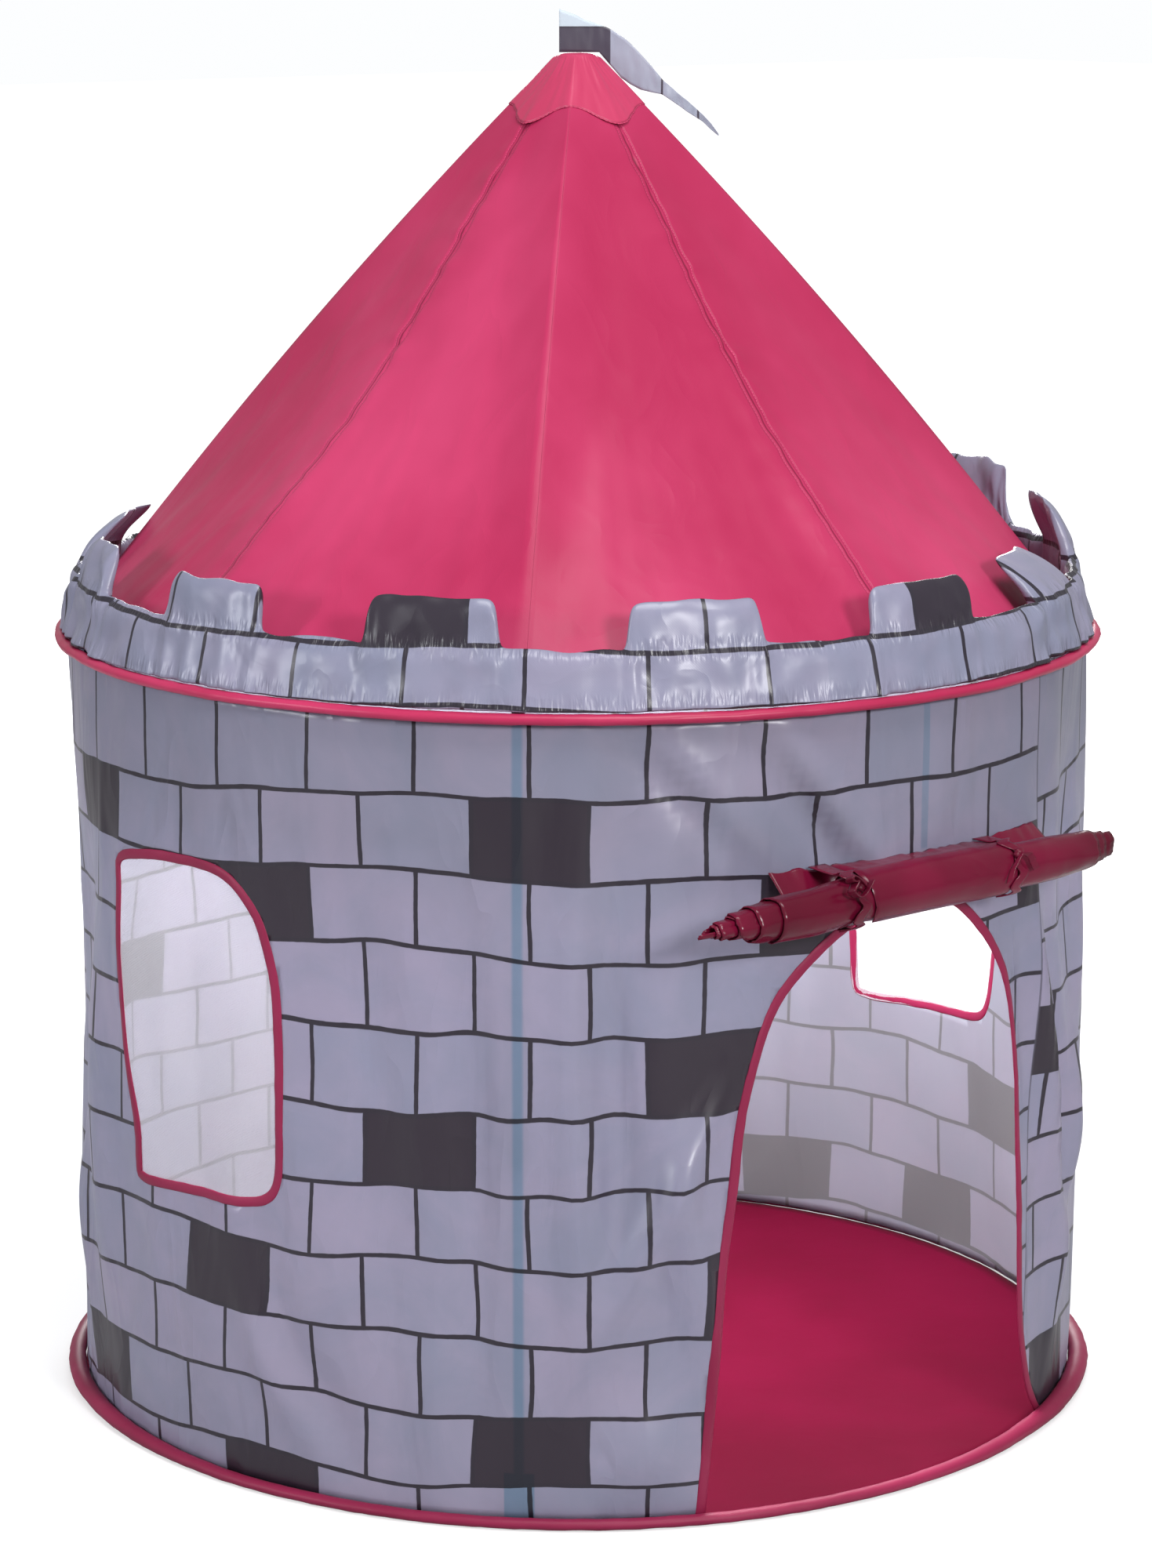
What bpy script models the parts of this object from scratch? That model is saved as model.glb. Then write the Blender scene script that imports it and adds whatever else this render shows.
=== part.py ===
"""Round castle play tent for children, with its door flap rolled up over the doorway.

Lengths are in metres and +Z points up. The origin is the centre of the floor's underside
and the door faces -Y. An azimuth is an angle in degrees about the tent's upright axis,
from the door towards +X. Heights are measured from the ground.
"""
import math

import bmesh
import bpy
from mathutils import Vector

# Clearances between pieces that touch on the real tent
SEAT_GAP = 0.0003
BORE_CLEARANCE = 0.0006
CUT_OVERRUN = 0.02

# Edges that turn by more than this angle stay sharp, and how far an inset corner may reach
SMOOTH_ANGLE = 40.0
SHARPEST_CORNER_SHARE = 0.5

# Cloth, drawn thicker than the real fabric so that it is a solid sheet
CLOTH = 0.002
FLOOR_CLOTH = 0.0015
RING_STEPS = 56

# Spring wire hoops at the floor and at the top of the wall, each in its own cloth sleeve
HOOP_RADIUS = 0.520
RIM_HEIGHT = 0.7665
WIRE_DIAMETER = 0.004
WIRE_END_GAP = 0.0008
HOOP_FERRULE_LENGTH = 0.030
HOOP_FERRULE_DIAMETER = 0.0065
HOOP_JOINT_AZIMUTH = 180.0
SLEEVE_CLOTH = 0.0015
SLEEVE_SLIT = 0.0012

# Wall, a cloth cylinder between the hoops with a few soft folds
WALL_INSET = 0.008
WALL_ROW_SHARES = (0.0, 0.14, 0.30, 0.46, 0.62, 0.80, 1.0)
WALL_FOLD_DEPTH = 0.0035
# Each fold: azimuth, width and slant as shares of a turn, height and length as shares of the
# wall, depth as a share of the fold depth, outward when positive
WALL_FOLD_SHARES = (
    (-0.200, 0.022, 0.030, 0.20, 0.22, 1.0),
    (-0.170, 0.020, 0.020, 0.62, 0.20, -0.7),
    (-0.090, 0.022, 0.015, 0.80, 0.16, 0.7),
    (-0.085, 0.020, -0.020, 0.25, 0.22, 0.9),
    (0.165, 0.024, 0.020, 0.45, 0.30, 1.1),
    (0.215, 0.022, -0.020, 0.25, 0.20, -0.7),
    (0.330, 0.026, 0.020, 0.60, 0.30, 0.9),
    (0.420, 0.022, -0.020, 0.30, 0.24, -0.8),
    (0.480, 0.024, 0.020, 0.65, 0.26, 1.0),
    (-0.430, 0.022, 0.020, 0.35, 0.26, 0.9),
    (-0.330, 0.024, -0.020, 0.60, 0.30, -0.8),
)
POLE_HOLD_ANGLE = 9.0

# Doorway in the wall, wider at the floor
DOOR_WIDTH = 0.472
DOOR_BELOW_HEADER = 0.035
DOOR_LEFT_SHARES = (
    (1.0, 0.0), (0.97, 0.16), (0.945, 0.32), (0.885, 0.52), (0.826, 0.70),
    (0.70, 0.845), (0.48, 0.938), (0.25, 0.984),
)
DOOR_RIGHT_SHARES = (
    (1.0, 0.0), (0.86, 0.065), (0.775, 0.17), (0.735, 0.287), (0.70, 0.44), (0.655, 0.60),
    (0.585, 0.75), (0.45, 0.87), (0.24, 0.958),
)
BINDING_WIDTH = 0.008
BINDING_THICKNESS = 0.004

# Mesh windows, one at each side of the door
WINDOW_WIDTH = 0.228
WINDOW_HEIGHT = 0.342
WINDOW_BELOW_RIM = 0.1535
WINDOW_TOP_CORNER = 0.064
WINDOW_BOTTOM_CORNER = 0.028
WINDOW_CORNER_STEPS = 5
WINDOW_MESH_THICKNESS = 0.0012
WINDOWS = (("left", -85.0), ("right", 91.0))

# Poles, each of four rods with ferrules, an elbow at the rim and one hub for all at the top
POLES = (("front_left", -45.0), ("front_right", 45.0), ("rear_left", -135.0), ("rear_right", 135.0))
POLE_HALF_PITCH = 45.0
ROD_DIAMETER = 0.0085
ROD_END_GAP = 0.0008
CONNECTOR_WALL = 0.0014
FERRULE_LENGTH = 0.050
ELBOW_ARM = 0.045
ELBOW_BEND = 0.010
ELBOW_RISE = 0.0005
SOCKET_DEPTH = 0.034
ROOF_ROD_BOW = 0.011
ROOF_ROD_POINTS = 6
BORE_SIDES = 12

# Pockets that hold the feet of the poles
POCKET_WIDTH = 0.028
POCKET_HEIGHT = 0.053
POCKET_CLOTH = 0.002
POCKET_CORNER_SHARE = 1 / 3

# Hub under the peak
HUB_SIDE_GAP = 0.0025
HUB_ROD_STANDOFF = 0.009
HUB_ROD_DROP = 0.019
HUB_BODY_LENGTH = 0.036
HUB_SIDES = 24

# Roof, drawn over the poles, with a seam between each two of them
ROOF_HEIGHT = 0.5695
PEAK_RADIUS = 0.0175
RIDGE_SLACK = 0.00225
CAP_LENGTH = 0.053
ROOF_ROW_SHARES = (0.0, 0.10, 0.22, 0.36, 0.52, 0.68, 0.84, 1.0)
# Distance of the seams from the axis as a share of the ridges', against height on the roof
SEAM_DRAW_SHARES = ((0.0, 1.0), (0.10, 0.985), (0.22, 0.945), (0.40, 0.86), (0.60, 0.81), (1.0, 0.80))
ROUND_RIM_SHARE = 0.30
RIDGE_SEARCH_SHARE = 0.2
RIDGE_SEARCH_STEPS = 30
CAP_STEPS = 32
CAP_ROW_SHARES = (0.0, 0.35, 0.70)

# Battlement, a padded band with teeth, standing on the upper hoop outside the roof
TOOTH_COUNT = 13
TOOTH_AZIMUTH = 1.1
BAND_HEIGHT = 0.0545
TOOTH_HEIGHT = 0.043
BAND_INSET = 0.0015
BAND_LEAN = 0.014
TOOTH_LEAN = 0.008
BAND_FOOT_THICKNESS = 0.007
BAND_THICKNESS = 0.013
TOOTH_THICKNESS = 0.009
BAND_EDGE_THICKNESS = 0.005
BAND_BELLY_SHARE = 0.45
BAND_NECK_SHARE = 0.90
# Across one tooth and its gap: place along the pitch, and height as a share of the tooth
TOOTH_OUTLINE_SHARES = (
    (0.0, 0.0), (0.225, 0.0), (0.245, 0.72), (0.285, 1.0),
    (0.5, 1.0), (0.715, 1.0), (0.755, 0.72), (0.775, 0.0),
)
# How far each tooth flops inward, as shares of its height, anticlockwise from the door
TOOTH_FLOP_SHARES = (0.10, 0.75, 0.20, 0.05, 0.15, 0.05, 0.12, 0.05, 0.20, 0.70, 0.05, 0.02, 0.08)

# Rolled door flap, hung from a seam over the doorway
HEADER_BELOW_RIM = 0.1465
HEADER_LEFT_AZIMUTH = -19.5
HEADER_RIGHT_AZIMUTH = 19.0
HEADER_STEPS = 14
HEADER_TOP_DROP = 0.002
ROLL_CLOTH = 0.0022
ROLL_PITCH = 0.0042
ROLL_CORE_RADIUS = 0.005
ROLL_TURNS = 4
ROLL_POINTS_PER_TURN = 14
ROLL_STANDOFF = 0.0018
ROLL_DROP = 0.023
ROLL_OUTER_LEFT = 0.212
ROLL_OUTER_RIGHT = 0.188
ROLL_CORE_LEFT = 0.300
ROLL_CORE_RIGHT = 0.216
# Along the roll: place as a share of its length, and girth as a share of the full one
ROLL_GIRTH_SHARES = ((0.0, 0.74), (0.12, 0.93), (0.36, 1.0), (0.64, 1.0), (0.88, 0.93), (1.0, 0.74))

# Ribbon ties round the roll, placed as shares of the header's half width
TIE_PLACE_SHARES = (("left", -0.74), ("right", 0.45))
TIE_WIDTH = 0.014
TIE_THICKNESS = 0.0012
TIE_MEETING_ANGLE = -82.0
TIE_FRONT_LIFT_ANGLE = 112.0
TIE_BACK_LIFT_ANGLE = 202.0
TIE_ARC_STEPS = 12
TIE_BACK_DROP = 0.010
TIE_WALL_GAP = 0.0008

# Pennant on the peak
FLAG_AZIMUTH = 51.0
FLAG_LENGTH = 0.158
FLAG_HOIST = 0.042
FLAG_DROOP = 0.080
FLAG_THICKNESS = 0.0015
FLAG_WAVE = 0.008
FLAG_WAVE_COUNT = 1.3
FLAG_SWING_GAP = 0.002
# Along the pennant: place, then its upper and its lower edge, counted up from the hoist's
# foot as shares of the hoist and down from there as shares of the droop
FLAG_EDGE_SHARES = (
    (0.0, 1.0, 0.0), (0.10, 0.914, 0.0), (0.24, 0.68, 0.0), (0.31, 0.557, -0.12),
    (0.43, 0.305, -0.33), (0.55, -0.106, -0.46), (0.66, -0.33, -0.51), (0.78, -0.55, -0.66),
    (0.89, -0.77, -0.80), (1.0, -0.985, -1.01),
)

# Tapes sewn to the inside of the wall under the roof's seams
TAPE_WIDTH = 0.007
TAPE_THICKNESS = 0.0008
TAPE_LENGTH = 0.135
TAPE_HEAD_GAP = 0.004
TAPES = (("front", 0.0), ("left", -90.0))

# Sizes that follow from the ones above
STEP_ANGLE = 360.0 / RING_STEPS
WALL_RADIUS = HOOP_RADIUS - WALL_INSET
BORE_HALF = HOOP_FERRULE_DIAMETER / 2 + BORE_CLEARANCE
SLEEVE_HALF = BORE_HALF + SLEEVE_CLOTH
SLEEVE_INNER_RADIUS = WALL_RADIUS - CLOTH / 2
BASE_HEIGHT = SLEEVE_HALF
WALL_BOTTOM = BASE_HEIGHT + SLEEVE_HALF + SEAT_GAP
WALL_TOP = RIM_HEIGHT - SLEEVE_HALF - SEAT_GAP
RIM_TOP = RIM_HEIGHT + SLEEVE_HALF
HEADER_HEIGHT = RIM_HEIGHT - HEADER_BELOW_RIM
DOOR_TOP = HEADER_HEIGHT - DOOR_BELOW_HEADER
WINDOW_TOP = RIM_HEIGHT - WINDOW_BELOW_RIM
CONNECTOR_DIAMETER = ROD_DIAMETER + 2 * (BORE_CLEARANCE + CONNECTOR_WALL)
POLE_RADIUS = WALL_RADIUS - CLOTH - SEAT_GAP - CONNECTOR_DIAMETER / 2
ELBOW_HEIGHT = RIM_HEIGHT + ELBOW_RISE
POCKET_BOTTOM = FLOOR_CLOTH + SEAT_GAP
ROD_FOOT = POCKET_BOTTOM + POCKET_CLOTH + SEAT_GAP
PEAK_HEIGHT = RIM_HEIGHT + ROOF_HEIGHT
CAP_HEM_HEIGHT = PEAK_HEIGHT - CAP_LENGTH
RIDGE_SEAT = CONNECTOR_DIAMETER / 2 + CLOTH + RIDGE_SLACK
HUB_RADIUS = PEAK_RADIUS - CLOTH - HUB_SIDE_GAP
HUB_ROD_REACH = HUB_RADIUS + HUB_ROD_STANDOFF
HUB_ROD_HEIGHT = PEAK_HEIGHT - HUB_ROD_DROP
BAND_FOOT_RADIUS = HOOP_RADIUS - BAND_INSET
ROLL_RADIUS = ROLL_CORE_RADIUS + ROLL_TURNS * ROLL_PITCH
ROLL_OUTSIDE = ROLL_RADIUS + ROLL_CLOTH / 2


# Scene, collections and materials

def clear_scene():
    for obj in list(bpy.data.objects):
        bpy.data.objects.remove(obj, do_unlink=True)


def new_collection(name):
    group = bpy.data.collections.new(name)
    bpy.context.scene.collection.children.link(group)
    return group


def new_material(name, colour, roughness, metallic=0.0):
    made = bpy.data.materials.new(name)
    made.use_nodes = True
    shader = made.node_tree.nodes["Principled BSDF"]
    shader.inputs["Base Color"].default_value = (*colour, 1.0)
    shader.inputs["Roughness"].default_value = roughness
    shader.inputs["Metallic"].default_value = metallic
    return made


clear_scene()
PARTS = new_collection("castle_play_tent")
CUTTERS = new_collection("cutters")

STONE_PRINT = new_material("stone_print_cloth", (0.30, 0.32, 0.39), 0.55)
ROOF_PINK = new_material("pink_cloth", (0.52, 0.07, 0.16), 0.45)
MAROON = new_material("maroon_cloth", (0.26, 0.01, 0.05), 0.45)
WINDOW_NET = new_material("white_net", (0.80, 0.79, 0.86), 0.70)
ROD_PLASTIC = new_material("rod_plastic", (0.22, 0.27, 0.33), 0.40)
CONNECTOR_PLASTIC = new_material("connector_plastic", (0.03, 0.03, 0.035), 0.45)
SPRING_STEEL = new_material("spring_steel", (0.45, 0.46, 0.48), 0.35, 1.0)
GREY_CLOTH = new_material("grey_cloth", (0.36, 0.37, 0.42), 0.60)


# Points round the tent

def around(azimuth, radius, height):
    """Point at an azimuth, a distance from the axis and a height."""
    angle = math.radians(azimuth)
    return Vector((radius * math.sin(angle), -radius * math.cos(angle), height))


def azimuth_of(point):
    return math.degrees(math.atan2(point.x, -point.y))


def angle_between(first, second):
    """Smallest turn from one azimuth to another."""
    return abs((first - second + 180.0) % 360.0 - 180.0)


def blend(low, high, share):
    return low + (high - low) * share


def smooth_step(share):
    share = min(max(share, 0.0), 1.0)
    return share * share * (3.0 - 2.0 * share)


def read_shares(table, place):
    """Value of a table of (place, value) shares between its entries."""
    for (start, low), (end, high) in zip(table, table[1:]):
        if place <= end:
            return blend(low, high, max(place - start, 0.0) / (end - start))
    return table[-1][1]


# Modelling helpers

def add_object(name, data, material, group=None):
    obj = bpy.data.objects.new(name, data)
    (group or PARTS).objects.link(obj)
    if material:
        data.materials.append(material)
    return obj


def hide_cutter(obj):
    obj.hide_render = True
    obj.display_type = "WIRE"
    return obj


def mesh_of(obj):
    """Mesh of an object with its modifiers applied and loose caps welded, in its own space."""
    view = bpy.context.evaluated_depsgraph_get()
    mesh = bpy.data.meshes.new_from_object(obj.evaluated_get(view))
    bm = bmesh.new()
    bm.from_mesh(mesh)
    bmesh.ops.remove_doubles(bm, verts=bm.verts, dist=SEAT_GAP / 10)
    bm.to_mesh(mesh)
    bm.free()
    return mesh


def applied(obj, group=None):
    """Swap an object for a plain mesh object of the same shape and place."""
    name = obj.name
    bpy.context.view_layer.update()
    mesh = mesh_of(obj)
    place = obj.matrix_world.copy()
    bpy.data.objects.remove(obj, do_unlink=True)
    made = add_object(name, mesh, None, group)
    made.matrix_world = place
    return made


def smooth(mesh):
    mesh.shade_smooth()
    mesh.set_sharp_from_angle(angle=math.radians(SMOOTH_ANGLE))


def mesh_from_rows(rows, closed_ring=False):
    """Skin over closed rows, each with the points of a sheet's one face, then its other's backwards.

    The two faces are split along matching diagonals, so the sheet keeps its thickness where it
    twists. In a ring the last row also joins the first.
    """
    bm = bmesh.new()
    grid = [[bm.verts.new(point) for point in row] for row in rows]
    spans = len(grid) if closed_ring else len(grid) - 1
    for i in range(spans):
        row, following = grid[i], grid[(i + 1) % len(grid)]
        count = len(row)
        for j in range(count):
            k = (j + 1) % count
            if j < count // 2:
                bm.faces.new((row[j], row[k], following[k]))
                bm.faces.new((row[j], following[k], following[j]))
            else:
                bm.faces.new((row[j], row[k], following[j]))
                bm.faces.new((row[k], following[k], following[j]))
    return bm, grid


def finish_mesh(bm, name):
    bmesh.ops.recalc_face_normals(bm, faces=bm.faces)
    mesh = bpy.data.meshes.new(name)
    bm.to_mesh(mesh)
    bm.free()
    smooth(mesh)
    return mesh


def turned(name, profile, material, steps=RING_STEPS, closed=True, group=None):
    """Profile of (radius, height) points turned about the tent's axis."""
    mesh = bpy.data.meshes.new(name)
    count = len(profile)
    edges = [(i, i + 1) for i in range(count - 1)]
    if closed:
        edges.append((count - 1, 0))
    mesh.from_pydata([(radius, 0.0, height) for radius, height in profile], edges, [])
    obj = add_object(name, mesh, material, group)
    screw = obj.modifiers.new("turn", "SCREW")
    screw.axis = "Z"
    screw.steps = steps
    screw.render_steps = steps
    screw.use_merge_vertices = True
    screw.merge_threshold = SEAT_GAP / 10
    screw.use_smooth_shade = True
    return obj


def tube(name, points, diameter, material, resolution=2, group=None):
    """Round rod or wire along straight runs between points."""
    curve = bpy.data.curves.new(name, "CURVE")
    curve.dimensions = "3D"
    curve.bevel_depth = diameter / 2
    curve.bevel_resolution = resolution
    curve.use_fill_caps = True
    line = curve.splines.new("POLY")
    line.points.add(len(points) - 1)
    for knot, point in zip(line.points, points):
        knot.co = (*point, 1.0)
    line.use_smooth = True
    return add_object(name, curve, material, group)


def flat_outline(name, outlines, thickness, material, group=None):
    """Plate of a flat outline in its own XY plane; a second outline is a hole."""
    curve = bpy.data.curves.new(name, "CURVE")
    curve.dimensions = "2D"
    curve.fill_mode = "BOTH"
    curve.extrude = thickness / 2
    for outline in outlines:
        line = curve.splines.new("POLY")
        line.points.add(len(outline) - 1)
        for knot, (across, up) in zip(line.points, outline):
            knot.co = (across, up, 0.0, 1.0)
        line.use_cyclic_u = True
    return add_object(name, curve, material, group)


def cutting_rod(name, start, end, diameter):
    """Round cutter between two points."""
    run = end - start
    bpy.ops.mesh.primitive_cylinder_add(
        vertices=BORE_SIDES, radius=diameter / 2, depth=run.length, location=(start + end) / 2)
    rod = bpy.context.object
    rod.name = name
    rod.rotation_euler = run.to_track_quat("Z", "Y").to_euler()
    for group in list(rod.users_collection):
        group.objects.unlink(rod)
    CUTTERS.objects.link(rod)
    return hide_cutter(rod)


def combine(obj, other, operation):
    change = obj.modifiers.new(operation.lower(), "BOOLEAN")
    change.operation = operation
    change.solver = "EXACT"
    change.object = other
    return change


def window_block(name, outlines, azimuth):
    """Upright block through the wall, with its outlines seen from outside the tent."""
    block = flat_outline(name, outlines, WALL_RADIUS, None, CUTTERS)
    block.rotation_euler = (math.radians(90.0), 0.0, math.radians(azimuth))
    block.location = around(azimuth, WALL_RADIUS, 0.0)
    return hide_cutter(applied(block, CUTTERS))


def inset(outline, distance):
    """Closed outline moved inward by a distance, whichever way it runs."""
    area = 0.0
    count = len(outline)
    for i in range(count):
        (x0, y0), (x1, y1) = outline[i], outline[(i + 1) % count]
        area += x0 * y1 - x1 * y0
    side = 1.0 if area > 0 else -1.0
    moved = []
    for i in range(count):
        before, here, after = (Vector(outline[(i + k) % count]) for k in (-1, 0, 1))
        run_in = (here - before).normalized()
        run_out = (after - here).normalized()
        normal_in = Vector((-run_in.y, run_in.x)) * side
        normal_out = Vector((-run_out.y, run_out.x)) * side
        middle = (normal_in + normal_out).normalized()
        reach = distance / max(middle.dot(normal_in), SHARPEST_CORNER_SHARE)
        moved.append(tuple(here + middle * reach))
    return moved


# Hoops and their sleeves

def hoop_points(height):
    """Wire points from one side of the hoop's joint right round to the other."""
    end_turn = math.degrees(WIRE_END_GAP / 2 / HOOP_RADIUS)
    azimuths = [HOOP_JOINT_AZIMUTH + end_turn]
    azimuths += [HOOP_JOINT_AZIMUTH + STEP_ANGLE * i for i in range(1, RING_STEPS)]
    azimuths.append(HOOP_JOINT_AZIMUTH + 360.0 - end_turn)
    return [around(azimuth, HOOP_RADIUS, height) for azimuth in azimuths]


def joint_points(height, length):
    """Short run along the hoop's straight facets, centred on its joint."""
    middle = around(HOOP_JOINT_AZIMUTH, HOOP_RADIUS, height)
    ends = []
    for side in (-1, 1):
        following = around(HOOP_JOINT_AZIMUTH + side * STEP_ANGLE, HOOP_RADIUS, height)
        ends.append(middle + (following - middle).normalized() * length / 2)
    return [ends[0], middle, ends[1]]


def make_hoop(name, height):
    tube(name + "_hoop_wire", hoop_points(height), WIRE_DIAMETER, SPRING_STEEL, resolution=1)
    bore_diameter = WIRE_DIAMETER + 2 * BORE_CLEARANCE
    bore = tube(name + "_hoop_bore", joint_points(height, HOOP_FERRULE_LENGTH + CUT_OVERRUN),
                bore_diameter, None, group=CUTTERS)
    bore = hide_cutter(applied(bore, CUTTERS))
    sleeve = tube(name + "_hoop_ferrule", joint_points(height, HOOP_FERRULE_LENGTH),
                  HOOP_FERRULE_DIAMETER, SPRING_STEEL, resolution=3)
    combine(applied(sleeve), bore, "DIFFERENCE")


def make_sleeve(name, height, material):
    """Cloth sleeve round a hoop, slit along its inner side where the cloths are sewn in."""
    inner = SLEEVE_INNER_RADIUS
    slit = SLEEVE_SLIT / 2
    core_in = HOOP_RADIUS - BORE_HALF
    core_out = HOOP_RADIUS + BORE_HALF
    outside = HOOP_RADIUS + SLEEVE_HALF
    cheek = BORE_HALF / 2
    profile = [
        (inner, SLEEVE_HALF), (core_out, SLEEVE_HALF), (outside, cheek), (outside, -cheek),
        (core_out, -SLEEVE_HALF), (inner, -SLEEVE_HALF), (inner, -slit), (core_in, -slit),
        (core_in, -BORE_HALF), (core_out, -BORE_HALF), (core_out, BORE_HALF),
        (core_in, BORE_HALF), (core_in, slit), (inner, slit),
    ]
    return turned(name, [(radius, height + rise) for radius, rise in profile], material)


# Floor and wall

def make_floor():
    edge = SLEEVE_INNER_RADIUS - SEAT_GAP
    bpy.ops.mesh.primitive_cylinder_add(
        vertices=RING_STEPS, radius=edge, depth=FLOOR_CLOTH, location=(0.0, 0.0, FLOOR_CLOTH / 2))
    floor = bpy.context.object
    floor.name = "floor_panel"
    floor.data.materials.append(MAROON)
    for group in list(floor.users_collection):
        group.objects.unlink(floor)
    PARTS.objects.link(floor)


def wall_bulge(azimuth, height):
    """How far the folds carry the wall out from its round, still at the hoops and poles."""
    up = (height - WALL_BOTTOM) / (WALL_TOP - WALL_BOTTOM)
    total = 0.0
    for place, width, slant, middle, length, depth in WALL_FOLD_SHARES:
        crest = 360.0 * (place + slant * (up - middle))
        across = angle_between(azimuth, crest) / (360.0 * width)
        along = (up - middle) / length
        total += depth * math.exp(-across * across - along * along)
    held = math.sin(math.pi * min(max(up, 0.0), 1.0)) ** 0.5
    for name, pole in POLES:
        nearness = angle_between(azimuth, pole) / POLE_HOLD_ANGLE
        held *= 1.0 - math.exp(-nearness * nearness)
    return WALL_FOLD_DEPTH * total * held


def wall_sheet(name, material, outward=0.0, group=None):
    """Open round of wall cloth with its folds, moved outward by a distance."""
    heights = [blend(WALL_TOP, WALL_BOTTOM, share) for share in WALL_ROW_SHARES]
    sheet = applied(turned(name, [(WALL_RADIUS + outward, height) for height in heights],
                           material, closed=False, group=group), group)
    for vertex in sheet.data.vertices:
        azimuth = azimuth_of(vertex.co)
        radius = WALL_RADIUS + outward + wall_bulge(azimuth, vertex.co.z)
        vertex.co = around(azimuth, radius, vertex.co.z)
    return sheet


def thicken(obj, thickness):
    """Give an open sheet its thickness on the inner side."""
    solid = obj.modifiers.new("cloth", "SOLIDIFY")
    solid.thickness = thickness
    solid.offset = -1.0
    solid.use_even_offset = True
    return solid


def door_outline():
    """Doorway seen from outside, from the left foot over the arch to the right foot."""
    half = DOOR_WIDTH / 2
    left = [(-half * wide, DOOR_TOP * up) for wide, up in DOOR_LEFT_SHARES]
    right = [(half * wide, DOOR_TOP * up) for wide, up in DOOR_RIGHT_SHARES]
    path = left + [(0.0, DOOR_TOP)] + right[::-1]
    path[0] = (path[0][0], -CUT_OVERRUN)
    path[-1] = (path[-1][0], -CUT_OVERRUN)
    return [(WALL_RADIUS * math.sin(along / WALL_RADIUS), up) for along, up in path]


def window_outline():
    """Window with large upper and small lower corners, seen from outside."""
    half = WINDOW_WIDTH / 2
    sill = WINDOW_TOP - WINDOW_HEIGHT
    low, high = WINDOW_BOTTOM_CORNER, WINDOW_TOP_CORNER
    corners = (
        (low - half, sill + low, low, 180.0),
        (half - low, sill + low, low, 270.0),
        (half - high, WINDOW_TOP - high, high, 0.0),
        (high - half, WINDOW_TOP - high, high, 90.0),
    )
    outline = []
    for across, up, radius, start in corners:
        for step in range(WINDOW_CORNER_STEPS + 1):
            angle = math.radians(start + 90.0 * step / WINDOW_CORNER_STEPS)
            outline.append((across + radius * math.cos(angle), up + radius * math.sin(angle)))
    return outline


def make_wall():
    wall = wall_sheet("wall_panel", STONE_PRINT)
    thicken(wall, CLOTH)
    combine(wall, window_block("doorway", [door_outline()], 0.0), "DIFFERENCE")
    for side, azimuth in WINDOWS:
        opening = window_block("window_opening_" + side, [window_outline()], azimuth)
        combine(wall, opening, "DIFFERENCE")


def make_door_binding():
    """Bias tape folded over the doorway's edge."""
    proud = (BINDING_THICKNESS - CLOTH) / 2
    band = wall_sheet("door_binding", MAROON, proud)
    thicken(band, BINDING_THICKNESS)
    doorway = door_outline()
    outer = inset(doorway, SEAT_GAP)
    inner = inset(doorway, SEAT_GAP + BINDING_WIDTH)
    outer[0] = (outer[0][0], -CUT_OVERRUN)
    inner[0] = (inner[0][0], -CUT_OVERRUN)
    outer[-1] = (outer[-1][0], -CUT_OVERRUN)
    inner[-1] = (inner[-1][0], -CUT_OVERRUN)
    combine(band, window_block("door_tape", [outer + inner[::-1]], 0.0), "INTERSECT")


def make_window(side, azimuth):
    """Net panel and the bias tape that holds it in the wall."""
    opening = window_outline()
    tape_outside = inset(opening, SEAT_GAP)
    tape_inside = inset(opening, SEAT_GAP + BINDING_WIDTH)
    net_edge = inset(opening, 2 * SEAT_GAP + BINDING_WIDTH)

    proud = (BINDING_THICKNESS - CLOTH) / 2
    tape = wall_sheet("window_binding_" + side, MAROON, proud)
    thicken(tape, BINDING_THICKNESS)
    ring = window_block("window_tape_" + side, [tape_outside, tape_inside], azimuth)
    combine(tape, ring, "INTERSECT")

    net = wall_sheet("window_net_" + side, WINDOW_NET, -(CLOTH - WINDOW_MESH_THICKNESS) / 2)
    thicken(net, WINDOW_MESH_THICKNESS)
    combine(net, window_block("window_net_edge_" + side, [net_edge], azimuth), "INTERSECT")


def make_tape(side, azimuth):
    """Narrow tape hanging down the inside of the wall."""
    radius = WALL_RADIUS - CLOTH - SEAT_GAP - TAPE_THICKNESS / 2
    height = WALL_TOP - TAPE_HEAD_GAP - TAPE_LENGTH / 2
    half = TAPE_WIDTH / 2
    outline = [(-half, -TAPE_LENGTH / 2), (half, -TAPE_LENGTH / 2),
               (half, TAPE_LENGTH / 2), (-half, TAPE_LENGTH / 2)]
    tape = flat_outline("inner_tape_" + side, [outline], TAPE_THICKNESS, GREY_CLOTH)
    tape.rotation_euler = (math.radians(90.0), 0.0, math.radians(azimuth))
    tape.location = around(azimuth, radius, height)


# Poles, drawn once at azimuth 0 and placed four times

def roof_path(share):
    """Axis of a roof rod, from the elbow's bend up to the hub, and its outward normal."""
    foot = Vector((POLE_RADIUS, ELBOW_HEIGHT))
    head = Vector((HUB_ROD_REACH, HUB_ROD_HEIGHT))
    run = head - foot
    normal = Vector((run.y, -run.x)).normalized()
    point = foot + run * share + normal * (4.0 * ROOF_ROD_BOW * share * (1.0 - share))
    along = run + normal * (4.0 * ROOF_ROD_BOW * (1.0 - 2.0 * share))
    return point, along.normalized(), Vector((along.y, -along.x)).normalized()


def on_pole(radius_height):
    """Point in the plane of azimuth 0 from its radius and height."""
    return around(0.0, radius_height.x, radius_height.y)


def roof_share(distance):
    """Share of the roof rod's axis that a length along it takes."""
    length = (roof_path(1.0)[0] - roof_path(0.0)[0]).length
    return distance / length


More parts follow.
